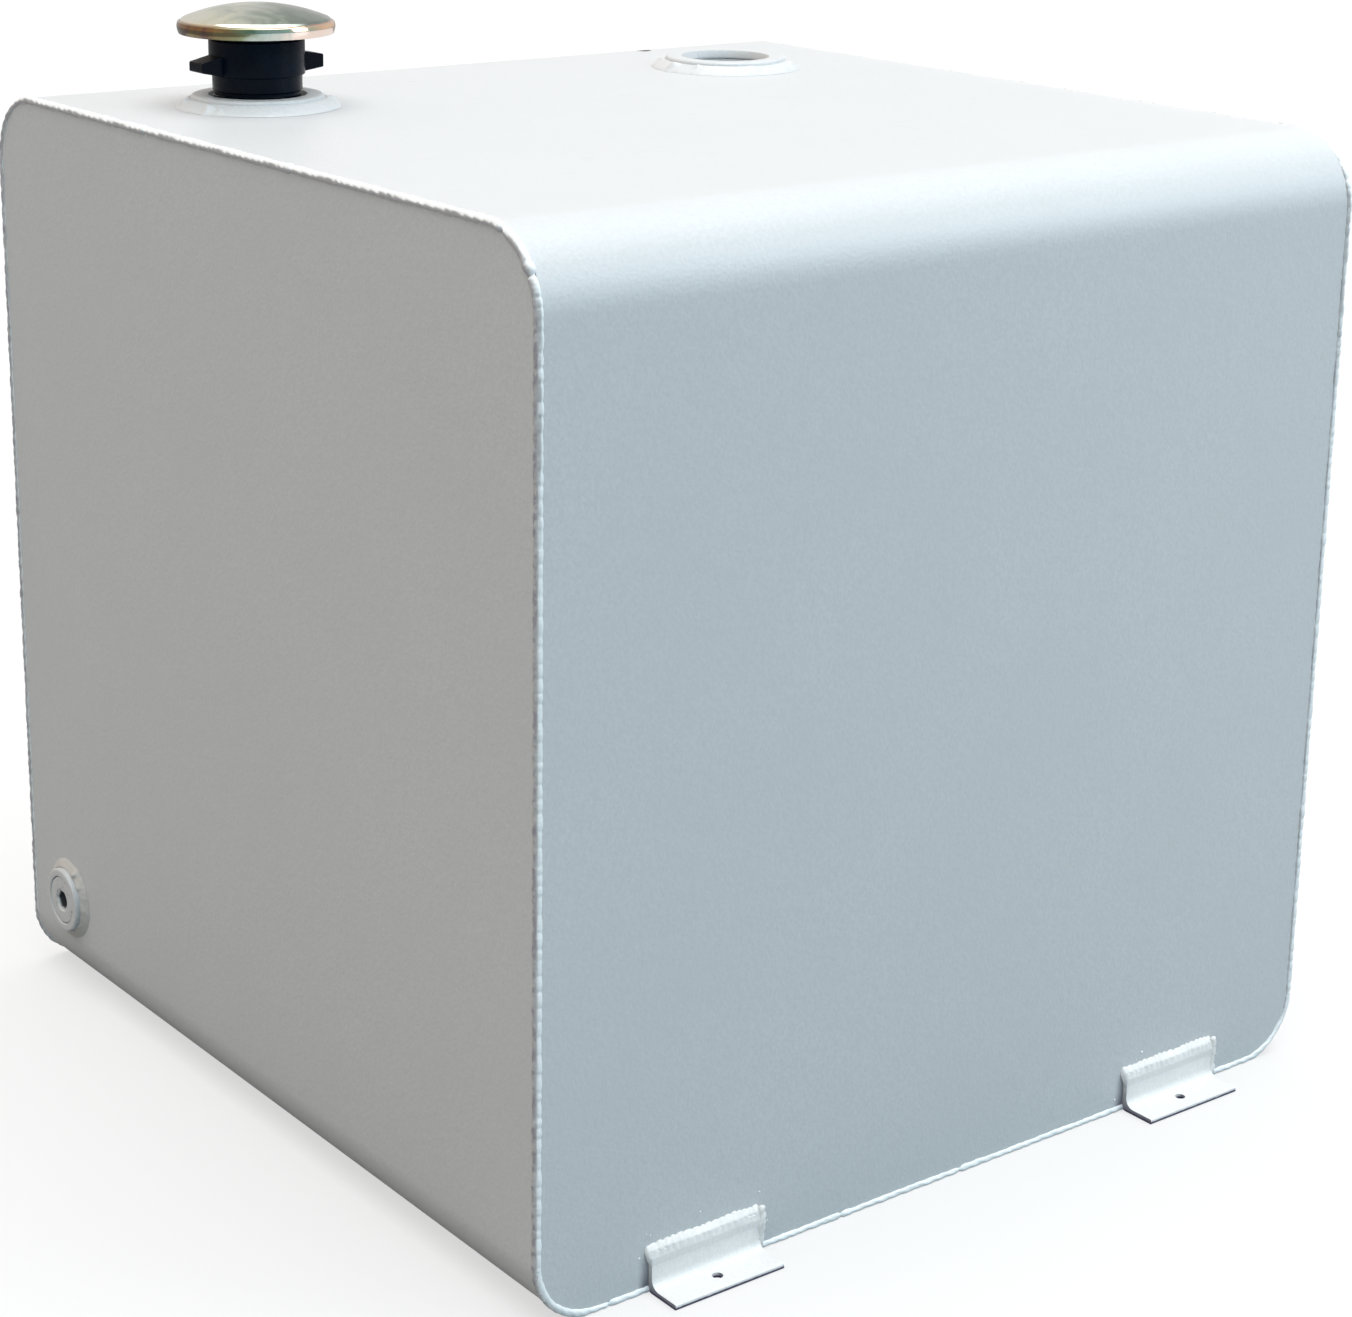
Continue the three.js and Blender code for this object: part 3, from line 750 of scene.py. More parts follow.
def nylon():
    """Moulded black nylon: satin, finely grained, with dust on what faces up."""
    look = Finish("black_nylon", Metallic=0.0, IOR=1.5, Specular_IOR_Level=0.08)
    up = look.axes(look.node("NewGeometry").outputs["Normal"])[2]
    patches = look.span(look.noise(4 * MM, detail=5), 0.42, 0.7)
    dust = look.times(look.span(up, 0.5, 0.95), patches)
    streak = look.noise(20 * MM, detail=3)
    dark, light = (0.001, 0.002, 0.006, 1), (0.002, 0.006, 0.014, 1)
    color = look.mix(look.span(streak, 0.3, 0.7), dark, light)
    look.set("Base Color", look.mix(look.times(dust, 0.12), color, grey(0.2, 0.04)))
    look.set("Roughness", look.span(look.noise(3 * MM, detail=4), 0.3, 0.7, 0.2, 0.34))
    look.bump(look.noise(0.35 * MM, detail=2), 0.015 * MM, 0.5)
    return look


def raw_steel():
    """Rolled sheet, left bare inside the tank: mill scale, rolling lines and a film of oil."""
    look = Finish("bare_steel", Metallic=1.0, IOR=1.5)
    scale = look.noise(28 * MM, detail=6, roughness=0.6)
    lines = look.noise(3 * MM, detail=3, stretch=(1, 1, 0.03))
    color = look.mix(look.span(scale, 0.4, 0.65), grey(0.22, 0.02), grey(0.44, 0.01))
    look.set("Base Color", look.mix(look.span(lines, 0.4, 0.7, 0, 0.4), color, grey(0.52)))
    look.set("Roughness", look.span(scale, 0.3, 0.7, 0.5, 0.28))
    look.bump(lines, 0.03 * MM, 0.4)
    look.bump(scale, 0.05 * MM, 0.3)
    return look


def machined(name, base, low, high):
    """Turned or drawn steel with fine tool marks and dull patches."""
    look = Finish(name, Metallic=1.0, IOR=1.5)
    patch = look.noise(5 * MM, detail=5, roughness=0.6)
    look.set("Base Color", look.mix(look.span(patch, 0.35, 0.65), grey(base * 0.75, 0.03), grey(base)))
    look.set("Roughness", look.span(patch, 0.3, 0.7, high, low))
    look.bump(look.noise(0.5 * MM, detail=2), 0.02 * MM, 0.35)
    return look


def painted_plug():
    """A steel plug sprayed with the tank, rubbed to dull metal in places, with painted shade in its
    socket.
    """
    look = enamel("plug_steel")
    worn = look.span(look.noise(5 * MM, detail=6, roughness=0.65), 0.6, 0.68)
    color = look.mix(worn, look.color(), grey(0.34, 0.02))
    look.set("Metallic", look.times(worn, 0.8))
    height = look.minus(look.times(look.axes()[0], -1), HALF)
    # Painted shade in the plug's socket and groove, darker deeper in.
    recess_shade = look.span(height, 5.3 * MM, 4.2 * MM, 0, 0.9)
    look.set("Base Color", look.mix(recess_shade, color, grey(0.03)))
    return look


def rubber():
    """Black rubber with a dull bloom."""
    look = Finish("seal_rubber", Metallic=0.0, IOR=1.5)
    bloom = look.noise(6 * MM, detail=5)
    look.set("Base Color", look.mix(look.span(bloom, 0.4, 0.7), grey(0.012), grey(0.03)))
    look.set("Roughness", look.span(bloom, 0.3, 0.7, 0.7, 0.85))
    look.bump(look.noise(0.4 * MM, detail=3), 0.03 * MM, 0.5)
    return look


def foam():
    """Black open-celled foam."""
    look = Finish("filter_foam", Metallic=0.0, IOR=1.4)
    pores = look.cells(0.9 * MM)
    look.set("Base Color", look.mix(look.span(pores, 0.15, 0.6), grey(0.012), grey(0.06)))
    look.set("Roughness", look.span(look.noise(3 * MM), 0, 1, 0.88, 1.0))
    look.bump(pores, 0.6 * MM, 1.0)
    return look


FINISHES = {
    "tank_paint": tank_enamel().material,
    "painted_weld": weld_enamel().material,
    "bare_steel": raw_steel().material,
    "black_nylon": nylon().material,
    "strainer_wire": machined("strainer_wire", 0.55, 0.25, 0.4).material,
    "plated_steel": plated().material,
    "plug_steel": painted_plug().material,
    "seal_rubber": rubber().material,
    "filter_foam": foam().material,
}
BRACKET_FINISH = bracket_enamel().material
RING_FINISH = enamel("ring_weld", LIT_RING_WHITE, WELD_PEEL).material
DRAIN_WELD_FINISH = enamel("drain_weld", SHADED_DRAIN_WELD_WHITE, WELD_PEEL).material
BRACKET_WELD_FINISH = enamel("bracket_weld", BRACKET_WELD_WHITE, WELD_PEEL).material

# ---- Frames ----

# An arch is drawn as (across, up, wide). The top sheet's is across Y, up Z and wide X, and the bottom
# sheet's is across X, down Z and wide Y.
OPENS_DOWN = Matrix(((0, 0, 1, 0), (1, 0, 0, 0), (0, 1, 0, 0), (0, 0, 0, 1)))
OPENS_UP = Matrix(((1, 0, 0, 0), (0, 0, 1, 0), (0, -1, 0, TOP), (0, 0, 0, 1)))


def on_top(node):
    at = middle(node)
    return Matrix.Translation((at.x, at.y, TOP))


def on_left(node):
    at = middle(node)
    return Matrix(((0, 0, -1, -HALF), (-1, 0, 0, at.y), (0, 1, 0, at.z), (0, 0, 0, 1)))


# ---- Tank sheets ----


def sheet_stations(bend, other_bend):
    """Half of a sheet's arch, from its foot up: across, up, the outward normal and the half width."""
    stations = []
    inner = other_bend - TRIM
    for angle in np.linspace(0, 90, 13)[:-1] * DEG:
        width = HALF - other_bend + inner * math.sin(angle)
        stations.append((HALF, other_bend - inner * math.cos(angle), 1, 0, width))
    full = HALF - TRIM
    for height in np.linspace(other_bend, TOP - bend, 37)[:-1]:
        stations.append((HALF, height, 1, 0, full))
    for angle in np.linspace(0, 90, 25)[:-1] * DEG:
        c, s = math.cos(angle), math.sin(angle)
        stations.append((HALF - bend + bend * c, TOP - bend + bend * s, c, s, full))
    for across in np.linspace(HALF - bend, 0, 19):
        stations.append((across, TOP, 0, 1, full))
    return np.array(stations)


def bent_sheet(bend, other_bend, seed):
    """One bent sheet with its thickness, in the arch's own frame: across, up, wide."""
    right = sheet_stations(bend, other_bend)
    left = right[-2::-1] * (-1, 1, -1, 1, 1)
    stations = np.vstack([right, left])
    across, up, normal_across, normal_up, half_width = (stations[:, k : k + 1] for k in range(5))
    share = np.linspace(-1, 1, 49)[None, :]
    wide = half_width * share
    waves = wander(wide, seed, 0.43) * wander(across + up, seed + 1, 0.51)
    hollow = 0.1 * MM * (1 + waves) * (1 - share ** 4)
    surfaces = []
    for depth in (hollow, SHEET + hollow):
        a = across - normal_across * depth
        u = up - normal_up * depth
        surfaces.append(np.stack([a, u, wide + 0 * a], axis=-1))
    loop = np.concatenate([surfaces[0], surfaces[1][:, ::-1]], axis=1)
    shape = Shape().grid(loop)
    count = share.shape[1]
    for row in (0, len(stations) - 1):
        start = row * 2 * count
        last = start + 2 * count - 1
        for j in range(count - 1):
            shape.faces.append([start + j, start + j + 1, last - 1 - j, last - j])
    return shape


def sheet_hole(spigot, place):
    """A cutter through a sheet, with clearance round a fitting's spigot."""
    return moved(rod(spigot + 0.3 * MM, -9 * MM, 9 * MM, sides=96), place)


def build_sheets():
    holes = [sheet_hole(FLANGE_SPIGOT, on_top(node)) for node in ("filler_flange", "top_port_flange")]
    piece("top_shell", moved(bent_sheet(TOP_BEND, BOTTOM_BEND, 11), OPENS_DOWN), cuts=holes)
    hole = sheet_hole(BOSS_SPIGOT, on_left("drain_boss"))
    piece("bottom_shell", moved(bent_sheet(BOTTOM_BEND, TOP_BEND, 21), OPENS_UP), cuts=[hole])


# ---- Seam welds ----


def seam_path(bend, foot):
    """Across and up, over an arch from one foot to the other, along the middle of the bead."""
    radius = bend - SEAM_INSET
    right = [(HALF - SEAM_INSET, foot)]
    for angle in np.linspace(0, 90, 31) * DEG:
        right.append((HALF - bend + radius * math.cos(angle), TOP - bend + radius * math.sin(angle)))
    right = np.array(right)
    left = right[::-1] * (-1, 1)
    return np.vstack([right, left])


def seam(node, arch, bend, foot, side, seed, stops=()):
    """The bead along one edge of an arch, kept off the floor."""
    path = seam_path(bend, foot)
    wide = side * (HALF - SEAM_INSET)
    path = np.column_stack([path, np.full(len(path), wide)])
    section = oval(SEAM_RADIUS, SEAM_RADIUS)
    rows = bead(path, (0, 0, 1), section, 8.2 * MM, seed, depth=0.16, stops=stops)
    shape = moved(Shape().grid(rows), arch)
    shape.points[0][:, 2] = np.maximum(shape.points[0][:, 2], 0.1 * MM)
    piece(node, shape)


def build_seams():
    low = BOTTOM_BEND - 4 * MM
    seam("seam_weld_left", OPENS_DOWN, TOP_BEND, low, -1, 31, (552 * MM, 583 * MM, 790 * MM, 960 * MM))
    seam("seam_weld_right", OPENS_DOWN, TOP_BEND, low, 1, 32)
    low = TOP - BOTTOM_BEND
    seam("seam_weld_front", OPENS_UP, BOTTOM_BEND, low, -1, 33, (70 * MM, 240 * MM, 335 * MM, 500 * MM))
    seam("seam_weld_back", OPENS_UP, BOTTOM_BEND, low, 1, 34)


# ---- Flanges ----


def weld_flange():
    """A pipe flange whose spigot drops through the sheet, threaded all the way."""
    lead, lead_depth = 2.4 * MM, 4.6 * MM
    outside = rounded([
        (FLANGE_BORE + 1 * MM, -FLANGE_DEPTH, 0),
        (FLANGE_SPIGOT, -FLANGE_DEPTH, 1 * MM),
        (FLANGE_SPIGOT, 0.2 * MM, 0),
        (FLANGE_RADIUS, 0.2 * MM, 0),
        (FLANGE_RADIUS, FLANGE_RISE, 2.4 * MM),
        (FLANGE_BORE + lead, FLANGE_RISE, 0.3 * MM),
        (FLANGE_BORE, FLANGE_RISE - lead_depth, 0),
    ], closed=False)
    top, bottom = FLANGE_RISE - 1.02 * lead_depth, -FLANGE_DEPTH + 1 * MM
    inside = thread(FLANGE_BORE, top, bottom, -PIPE_PITCH, PIPE_DEPTH)
    return lathe(turned(outside), inside)


def build_flanges():
    restarts = {"filler_flange": (165, 200, 338), "top_port_flange": (180, 310, 350)}
    for seed, (node, stops) in enumerate(restarts.items()):
        piece(node, weld_flange(), on_top(node))
        weld = ring_bead(FLANGE_RADIUS, *FLANGE_BEAD, 41 + 2 * seed, stops)
        piece(node + "_weld", weld, on_top(node)).data.materials[0] = RING_FINISH


# ---- Filler neck and strainer ----


def neck_wing(side):
    """A lug to turn the neck by: deep at the root, thin at the tip."""
    root, tip = NECK_TOP_BORE + 1 * MM, 43.5 * MM
    low, high = (23.9 * MM, 29.8 * MM) if side < 0 else (22.7 * MM, 30.8 * MM)
    outline = rounded([
        (root, COLLAR_LOW, 0),
        (tip, low, 1 * MM),
        (tip, high, 1 * MM),
        (root, 33.6 * MM, 0),
    ])
    turn = Matrix.Rotation(90 * DEG, 4, "X")
    if side < 0:
        turn = Matrix.Rotation(180 * DEG, 4, "Z") @ turn
    return moved(prism(outline, -8 * MM, 8 * MM), turn)


def build_neck():
    """From the pipe thread's end up the outside, over the mouth and down the bore."""
    pipe_root, screw_root = NECK_RADIUS - PIPE_DEPTH, CAP_THREAD_RADIUS - CAP_THREAD_DEPTH
    end = rounded([
        (NECK_BORE, -13 * MM, 0),
        (pipe_root, -13 * MM, 0.5 * MM),
        (pipe_root, -12.6 * MM, 0),
    ], closed=False)
    pipe = thread(pipe_root, -12.5 * MM, 10 * MM, PIPE_PITCH, PIPE_DEPTH)
    barrel = rounded([
        (pipe_root, 10.2 * MM, 0),
        (NECK_RADIUS, 11 * MM, 0.3 * MM),
        (NECK_RADIUS, COLLAR_LOW, 0.8 * MM),
        (COLLAR_RADIUS, COLLAR_LOW, 0.8 * MM),
        (COLLAR_RADIUS, COLLAR_HIGH, 0.8 * MM),
        (screw_root, COLLAR_HIGH, 0.4 * MM),
        (screw_root, COLLAR_HIGH + 0.6 * MM, 0),
    ], closed=False)
    low, high = COLLAR_HIGH + 0.7 * MM, NECK_TOP - 1 * MM
    screw = thread(screw_root, low, high, CAP_THREAD_PITCH, CAP_THREAD_DEPTH, samples=14)
    mouth = rounded([
        (screw_root, NECK_TOP - 0.9 * MM, 0),
        (screw_root, NECK_TOP, 0.5 * MM),
        (NECK_TOP_BORE, NECK_TOP, 0.5 * MM),
        (NECK_TOP_BORE, NECK_LEDGE, 0.3 * MM),
        (NECK_BORE, NECK_LEDGE, 0.4 * MM),
        (NECK_BORE, -12.9 * MM, 0),
    ], closed=False)
    body = lathe(turned(end), pipe, turned(barrel), screw, turned(mouth))
    piece("filler_neck", body, on_top("filler_neck"), joins=[neck_wing(1), neck_wing(-1)])


def build_strainer():
    place = on_top("filler_neck")
    low, high = (corner.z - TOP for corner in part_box("strainer_mesh"))
    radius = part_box("strainer_end_cap")[1].x - middle("strainer_end_cap").x
    build_strainer_collar(place)
    base, lip, floor = low - 4 * MM, low - 0.3 * MM, low - 1.6 * MM
    cap = rounded([
        (0, base, 0),
        (radius, base, 1.4 * MM),
        (radius, lip, 0.4 * MM),
        (radius - 1.6 * MM, lip, 0.4 * MM),
        (radius - 1.6 * MM, floor, 0.4 * MM),
        (0, floor, 0),
    ], closed=False)
    piece("strainer_end_cap", Shape().grid(turned(cap)), place)
    piece("strainer_mesh", woven_tube(radius - 0.5 * MM, low, high), place)


def build_strainer_collar(place):
    """A sleeve that hangs from a rim on the neck's ledge."""
    bore, sleeve, rim = 21.7 * MM, 23.7 * MM, 25.8 * MM
    low, ledge, top = 36 * MM, 46.3 * MM, 48.3 * MM
    section = rounded([
        (bore, low, 0.5 * MM),
        (sleeve, low, 0.5 * MM),
        (sleeve, ledge, 0.3 * MM),
        (rim, ledge, 0.5 * MM),
        (rim, top, 0.5 * MM),
        (bore, top, 0.5 * MM),
    ])
    piece("strainer_collar", lathe(turned(section)), place)


def woven_tube(radius, low, high):
    """Upright wires that weave in and out of a stack of hoops."""
    wires, hoops = 64, 76
    wire = 0.22 * MM
    shape = Shape()
    section = angles(5) + 0.3
    heights = np.linspace(low + 2 * wire, high - 2 * wire, 2 * hoops + 1)
    for k in range(wires):
        turn = 2 * math.pi * k / wires
        weave = wire * np.sin((np.arange(len(heights)) + 2 * (k % 2)) * math.pi / 2)
        r = radius + weave[:, None] + wire * np.cos(section)[None, :]
        t = wire * np.sin(section)[None, :] + 0 * r
        x = r * math.cos(turn) - t * math.sin(turn)
        y = r * math.sin(turn) + t * math.cos(turn)
        shape.grid(np.stack([x, y, heights[:, None] + 0 * r], axis=-1))
        for row in (0, len(heights) - 1):
            start = shape.count - len(heights) * len(section) + row * len(section)
            shape.faces.append(list(range(start, start + len(section))))
    around = np.arange(2 * wires) * math.pi / wires
    for k in range(hoops):
        height = heights[2 * k + 1]
        weave = -wire * np.cos(around * wires) * (1 if k % 2 else -1)
        r = radius + weave[:, None] + wire * np.cos(section)[None, :]
        z = height + wire * np.sin(section)[None, :] + 0 * r
        hoop = np.stack([r * np.cos(around)[:, None], r * np.sin(around)[:, None], z], axis=-1)
        shape.grid(hoop, wrap_rows=True)
    return shape


# ---- Breather cap ----


def dome_arc(radius):
    """The dome's profile from its middle to its edge, on an arc about the centre of its sphere."""
    centre = CAP_TOP - DOME_RADIUS
    r = np.linspace(0, DOME_EDGE, 24)
    return np.column_stack([r, centre + np.sqrt(radius ** 2 - r ** 2)])


def dome_shoulder(edge):
    """The dome turned down at its edge, from its own slope to a steep one."""
    slope, steep = math.acos(DOME_EDGE / DOME_RADIUS), 28 * DEG
    turn = np.linspace(slope, steep, 10)[1:]
    centre = edge - SHOULDER_RADIUS * np.array((math.cos(slope), math.sin(slope)))
    return centre + SHOULDER_RADIUS * np.column_stack([np.cos(turn), np.sin(turn)])


def build_cap():
    place = on_top("cap_dome")
    wall = CAP_RADIUS - CAP_METAL
    dome = dome_arc(DOME_RADIUS)
    shoulder = dome_shoulder(dome[-1])
    crease, low = shoulder[-1]
    rim = rounded([
        (crease, low, 0),
        (crease + 0.1 * MM, low - 0.35 * MM, 0.2 * MM),
        (CAP_RADIUS - 0.7 * MM, low + 0.15 * MM, 0.7 * MM),
        (CAP_RADIUS, CAP_CREASE - 3.4 * MM, 3.5 * MM),
        (CAP_RADIUS - 0.3 * MM, CAP_LOW + 2.4 * MM, 3 * MM),
        (CAP_RADIUS - 1.1 * MM, CAP_LOW, 0.4 * MM),
        (wall - 0.4 * MM, CAP_LOW, 0.2 * MM),
        (wall, CAP_LOW + 1.5 * MM, 1 * MM),
        (wall, CAP_CREASE - 2.4 * MM, 1 * MM),
        (wall - 1.4 * MM, CAP_CREASE - 1.4 * MM, 0),
    ], closed=False)
    inside = dome_arc(DOME_RADIUS - CAP_METAL)[::-1]
    profile = np.vstack([dome, shoulder, rim, inside])
    piece("cap_dome", Shape().grid(turned(profile, 192)), place)
    build_cap_inside(place)


def build_thread_insert(place):
    """A cup with a hole in its roof and the thread in its wall."""
    root, outer, vent = 30.9 * MM, 33.7 * MM, 10 * MM
    low, roof, top = 44.6 * MM, 56 * MM, 57.4 * MM
    cup = rounded([
        (root, low, 0.3 * MM),
        (outer, low, 0.6 * MM),
        (outer, top, 0.8 * MM),
        (vent, top, 0.4 * MM),
        (vent, roof, 0.4 * MM),
        (root, roof, 0.4 * MM),
    ], closed=False)
    screw = thread(root, roof - 0.6 * MM, low + 0.6 * MM, -CAP_THREAD_PITCH, -0.7 * MM, samples=14)
    piece("cap_thread_insert", lathe(turned(cup), screw), place)


def build_cap_inside(place):
    """The gasket, the foam ring and the plate under it, with its vents."""
    build_thread_insert(place)
    piece("cap_gasket", ring(26.4, 29.3, 54.3, 55.7, round_by=0.5), place)
    piece("breather_element", ring(34, 46.4, 47.9, 52.9, round_by=0.8), place)
    plate = ring(34, 47.9, 46.4, 47.6, round_by=0.25)
    vents = Shape()
    vent_circle = 40.95 * MM
    for k in range(12):
        x = vent_circle * math.cos(k * 30 * DEG)
        y = vent_circle * math.sin(k * 30 * DEG)
        vents.add(rod(1.6 * MM, 45 * MM, 49 * MM, x, y, 24))
    piece("cap_base_plate", plate, place, cuts=[vents])


def ring(inner, outer, low, high, round_by):
    """A ring between two radii and two heights, all in millimetres."""
    corners = ((inner, low), (outer, low), (outer, high), (inner, high))
    section = rounded([(r * MM, z * MM, round_by * MM) for r, z in corners])
    return lathe(turned(section))


# ---- Drain ----


def build_drain():
    place = on_left("drain_boss")
    seat, floor = 16.5 * MM, 1.2 * MM
    outside = rounded([
        (PLUG_BORE, -BOSS_DEPTH, 0),
        (BOSS_SPIGOT, -BOSS_DEPTH, 0.8 * MM),
        (BOSS_SPIGOT, 0.2 * MM, 0),
        (BOSS_RADIUS, 0.2 * MM, 0),
        (BOSS_RADIUS, BOSS_RISE, 1.5 * MM),
        (seat, BOSS_RISE, 0.7 * MM),
        (seat, floor, 0.3 * MM),
        (PLUG_BORE + 1.2 * MM, floor, 0),
    ], closed=False)
    bore = thread(PLUG_BORE, floor - 1 * MM, -BOSS_DEPTH + 0.4 * MM, -PLUG_PITCH, 0.9 * MM)
    piece("drain_boss", lathe(turned(outside), bore), place)
    weld = piece("drain_boss_weld", ring_bead(BOSS_RADIUS, *BOSS_BEAD, 51, (60, 200)), place)
    weld.data.materials[0] = DRAIN_WELD_FINISH
    build_plug(place)
    piece("drain_plug_seal", ring(13.4, 16, 1.5, 3, round_by=0.6), place)


def build_plug(place):
    shank = 12.9 * MM
    root = shank - 0.9 * MM
    end = rounded([(0, -10 * MM, 0), (root, -10 * MM, 0.5 * MM), (root, -9.4 * MM, 0)], closed=False)
    screw = thread(root, -9.3 * MM, 2 * MM, PLUG_PITCH, 0.9 * MM)
    head = rounded([
        (root, 2.2 * MM, 0),
        (root, 3.3 * MM, 0.3 * MM),
        (16.1 * MM, 3.3 * MM, 0.3 * MM),
        (16.1 * MM, 6.6 * MM, 0.9 * MM),
        (8.2 * MM, 6.6 * MM, 0.3 * MM),
        (7 * MM, 5.6 * MM, 0.2 * MM),
        (0, 5.6 * MM, 0),
    ], closed=False)
    body = Shape().grid(np.concatenate([turned(end), screw, turned(head)]))
    corner = 12 * MM / math.sqrt(3)
    socket = rod(corner, -2.4 * MM, 7 * MM, sides=6)
    piece("drain_plug", body, place, cuts=[socket])


# ---- Brackets ----


def bracket_frame(node):
    """Drawn as [along the tank, out from the sheet, up], about the bracket's own middle."""
    at = middle(node)
    out = -1 if at.y < 0 else 1
    return Matrix(((-out, 0, 0, at.x), (0, out, 0, out * HALF), (0, 0, 1, 0), (0, 0, 0, 1)))


def build_brackets():
    for seed, row in enumerate(("front", "rear")):
        for hand in ("left", "right"):
            node = f"{row}_{hand}_bracket"
            build_bracket(node, 61 + 10 * seed + (5 if hand == "right" else 0))


def build_bracket(node, seed):
    low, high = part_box(node)
    half = (high.x - low.x) / 2
    place = bracket_frame(node)
    front = LEG_BACK + LEG_THICKNESS
    angle = rounded([
        (LEG_BACK, 0, 3 * MM),
        (LEG_BACK + LEG, 0, 0.5 * MM),
        (LEG_BACK + LEG, LEG_THICKNESS, 0.9 * MM),
        (front, LEG_THICKNESS, LEG_FILLET),
        (front, LEG, 0.9 * MM),
        (LEG_BACK, LEG, 0.4 * MM),
    ], steps=8)
    lengthways = Matrix(((0, 0, 1, 0), (1, 0, 0, 0), (0, 1, 0, 0), (0, 0, 0, 1)))
    bar = moved(prism(angle, -half, half), lengthways)
    hole = rod(3.25 * MM, -1 * MM, 5 * MM, 0, 13.7 * MM, sides=40)
    obj = piece(node, bar, place, cuts=[hole])
    obj.data.materials[0] = BRACKET_FINISH
    build_bracket_weld(node, place, half, seed)


def bracket_bead_section():
    """A fillet from the sheet over the leg's top edge, feathered out down the leg's front.

    Across is away from the bracket's middle, from the leg's edge, and out is from the sheet.
    """
    front = LEG_BACK + LEG_THICKNESS
    return rounded([
        (5.2 * MM, -0.2 * MM, 0),
        (4.6 * MM, 1.3 * MM, 1.2 * MM),
        (1.8 * MM, front + 1 * MM, 2.2 * MM),
        (-3 * MM, front + 0.8 * MM, 3 * MM),
        (-8 * MM, front, 0),
        (-7.5 * MM, front - 1.2 * MM, 0),
        (0, 0.8 * MM, 0),
        (0, -0.2 * MM, 0),
    ], steps=5)


def spatter_spots(end, top, seed):
    """Where drops landed on the sheet: four above the leg, and three beside its ends."""
    rng = np.random.default_rng(seed)
    reach = end + 9 * MM
    above = [(rng.uniform(-reach, reach), 0, top + rng.uniform(6, 14) * MM) for _ in range(4)]
    beside = []
    for side in (-1, 1, 1):
        across = side * (end + rng.uniform(5, 9) * MM)
        beside.append((across, 0, rng.uniform(8, 24) * MM))
    return above + beside


def build_bracket_weld(node, place, half, seed):
    """One bead over the upright leg's top, a narrower one down its right-hand end, and drops around."""
    outward = (0, 1, 0)
    end, top = half - 0.2 * MM, LEG - 0.2 * MM
    over = [(-end - 3 * MM, 0, top), (end + 2.4 * MM, 0, top)]
    rows = bead(over, outward, bracket_bead_section(), 4.7 * MM, seed, lumps=0.14, depth=0.24, tilt=0.25,
                calm=-3.2 * MM)
    shape = Shape().grid(rows)
    aside, out = end + 1.5 * MM, LEG_BACK + LEG_THICKNESS - 0.7 * MM
    down = [(aside, out, top + 4.6 * MM), (aside, out, 3 * MM)]
    section = oval(3.5 * MM, 2.7 * MM, 14)
    shape.grid(bead(down, outward, section, 5.4 * MM, seed + 3, lumps=0.3, depth=0.3))
    spatter(shape, spatter_spots(end, top, seed + 5), outward, seed + 6)
    piece(node + "_weld", shape, place).data.materials[0] = BRACKET_WELD_FINISH


# ---- Baffle ----


def build_baffle():
    """A plate across the tank with two holes for the oil, and a weld down each side."""
    edge = HALF - SHEET - 0.3 * MM
    low, high = 25 * MM, 560 * MM
    corner = 60 * MM
    outline = rounded([
        (-edge + corner, low, 8 * MM),
        (edge - corner, low, 8 * MM),
        (edge, low + corner, 8 * MM),
        (edge, high, 4 * MM),
        (-edge, high, 4 * MM),
        (-edge, low + corner, 8 * MM),
    ])
    plate = moved(prism(outline, -1 * MM, 1 * MM), OPENS_DOWN)
    cutters = [rod(30 * MM, -5 * MM, 5 * MM, side * 120 * MM, 140 * MM) for side in (-1, 1)]
    piece("baffle_plate", plate, cuts=[moved(cutter, OPENS_DOWN) for cutter in cutters])
    for seed, (node, side) in enumerate((("baffle_weld_front", -1), ("baffle_weld_back", 1))):
        y = side * (edge - 1.2 * MM)
        path = [(3 * MM, y, 90 * MM), (3 * MM, y, 550 * MM)]
        rows = bead(path, (1, 0, 0), oval(2.4 * MM, 2.2 * MM, 12), 4 * MM, 81 + seed)
        piece(node, Shape().grid(rows))


# ---- Stage ----

CAMERA_AT = (-1.1313, -1.4826, 0.8711)
CAMERA_AZIMUTH = -37.41  # 0 looks along +Y
CAMERA_ELEVATION = 15.96
CAMERA_ROLL = 0.78
CAMERA_LENS = 78.9
CAMERA_SHIFT = (0.0158, -0.0967)


def build_camera():
    """The photograph's viewpoint, which looks at the front and the left side from a little above."""
    camera = bpy.data.objects.new("camera", bpy.data.cameras.new("camera"))
    bpy.context.scene.collection.objects.link(camera)
    azimuth, elevation = CAMERA_AZIMUTH * DEG, CAMERA_ELEVATION * DEG
    flat = math.cos(elevation)
    back = Vector((math.sin(azimuth) * flat, -math.cos(azimuth) * flat, math.sin(elevation)))
    level = Vector((0, 0, 1)).cross(back).normalized()
    upright = back.cross(level)
    c, s = math.cos(CAMERA_ROLL * DEG), math.sin(CAMERA_ROLL * DEG)
    right = level * c + upright * s
    up = upright * c - level * s
    turn = Matrix((right, up, back)).transposed().to_4x4()
    camera.matrix_world = Matrix.Translation(CAMERA_AT) @ turn
    camera.data.sensor_width = 36
    camera.data.lens = CAMERA_LENS
    camera.data.shift_x, camera.data.shift_y = CAMERA_SHIFT
    camera.data.clip_start, camera.data.clip_end = 0.05, 60
    bpy.context.scene.camera = camera


FLOOR_GLOW = 0.62  # light of its own, as a share of white
FLOOR_GAP = 0.2 * MM  # under the tank, so that the two surfaces don't coincide


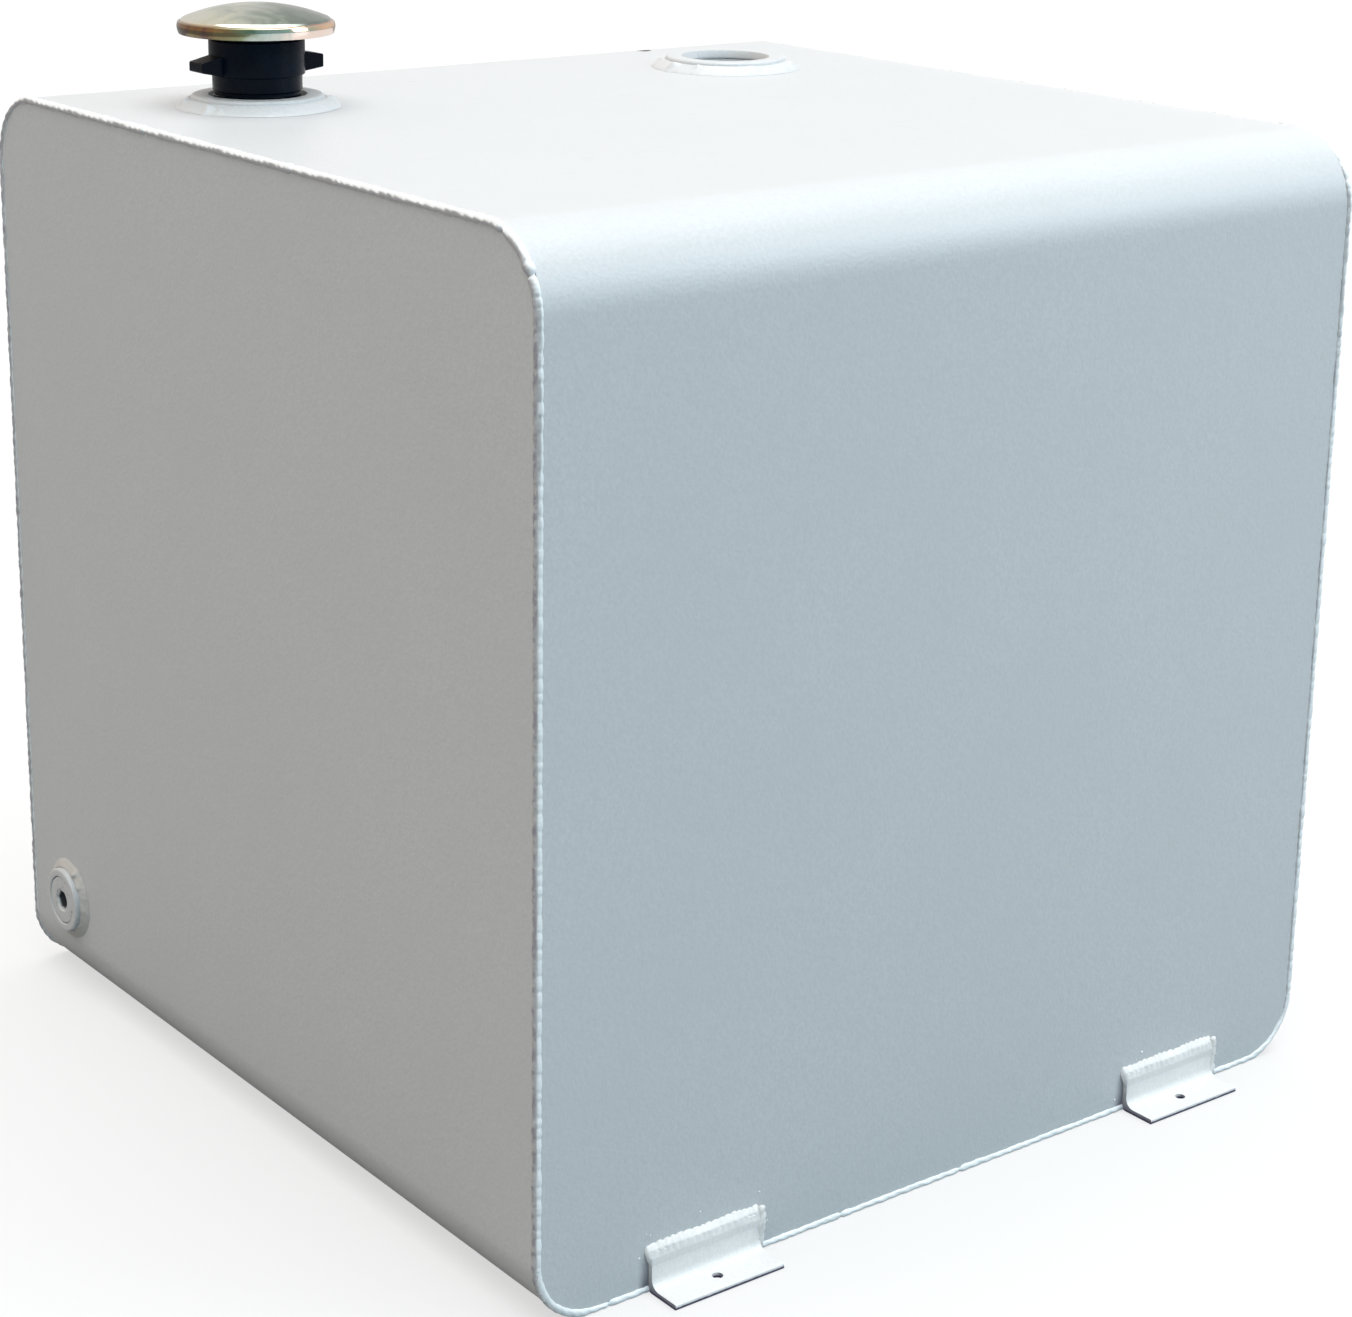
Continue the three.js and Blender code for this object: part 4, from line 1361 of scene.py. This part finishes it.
def build_floor():
    """A pale floor. More than half of its brightness is its own, and that part doesn't light the tank."""
    size = 20
    corners = [(-size, -size, 0), (size, -size, 0), (size, size, 0), (-size, size, 0)]
    mesh = Shape().face(corners).mesh("floor")
    floor = bpy.data.objects.new("floor", mesh)
    bpy.context.scene.collection.objects.link(floor)
    floor.location.z = -FLOOR_GAP
    look = Finish("floor", Roughness=0.9, Specular_IOR_Level=0.1)
    look.set("Base Color", look.mix(look.noise(0.4), grey(0.255), grey(0.265)))
    look.shader.inputs["Emission Color"].default_value = grey(1)
    look.shader.inputs["Emission Strength"].default_value = FLOOR_GLOW
    mesh.materials.append(look.material)
    lit_by_floor = bpy.data.collections.new("lit_by_floor")
    lit_by_floor.objects.link(floor)
    floor.light_linking.receiver_collection = lit_by_floor


LEFT_SKY = (0.75, 0.62, 0.49, 1)
RIGHT_SKY = (0.65, 0.65, 0.65, 1)
FRONT_SKY = (0.18, 0.47, 0.64, 1)
KEY_LIGHT = (3.68, 3.66, 3.68, 1)
KEY_TOWARD = (0.04, -0.10, 0.99)
SOFTBOX_AT = (1.3, -1.7, 1.5)
SOFTBOX_SIZE = 1.0
SOFTBOX_POWER = 14.5  # watts
SOFTBOX_COLOR = (0.92, 0.98, 1.0)


def build_light():
    """A soft tent: a bright round ceiling, and walls that are warm on the left and cool in front."""
    world = bpy.data.worlds.new("studio")
    bpy.context.scene.world = world
    world.use_nodes = True
    tree = world.node_tree

    def blend(value, low, high, first, second):
        inputs = {"Value": value, "From Min": low, "From Max": high}
        share = add_node(tree, "MapRange", inputs, interpolation_type="SMOOTHSTEP").outputs[0]
        return add_node(tree, "Mix", {0: share, 6: first, 7: second}, data_type="RGBA").outputs[2]

    direction = add_node(tree, "TexCoord").outputs["Generated"]
    x, y, _ = add_node(tree, "SeparateXYZ", {"Vector": direction}).outputs
    sides = blend(x, -0.9, 0.9, LEFT_SKY, RIGHT_SKY)
    walls = blend(y, 0.1, -0.9, sides, FRONT_SKY)
    inputs = {0: direction, 1: tuple(Vector(KEY_TOWARD).normalized())}
    facing = add_node(tree, "VectorMath", inputs, operation="DOT_PRODUCT").outputs["Value"]
    sky = blend(facing, 0.74, 0.9, walls, KEY_LIGHT)
    tree.links.new(sky, tree.nodes["Background"].inputs["Color"])
    build_softbox()


def build_softbox():
    """A soft light in front on the right, so that the front fades a little to the left."""
    light = bpy.data.lights.new("softbox", "AREA")
    light.size = SOFTBOX_SIZE
    light.energy = SOFTBOX_POWER
    light.color = SOFTBOX_COLOR
    softbox = bpy.data.objects.new("softbox", light)
    bpy.context.scene.collection.objects.link(softbox)
    toward_tank = Vector((0, 0, TOP / 2)) - Vector(SOFTBOX_AT)
    turn = toward_tank.to_track_quat("-Z", "Y").to_matrix().to_4x4()
    softbox.matrix_world = Matrix.Translation(SOFTBOX_AT) @ turn


build_sheets()
build_seams()
build_flanges()
build_neck()
build_strainer()
build_cap()
build_drain()
build_brackets()
build_baffle()
build_camera()
build_floor()
build_light()
bpy.context.scene.view_settings.view_transform = "Standard"
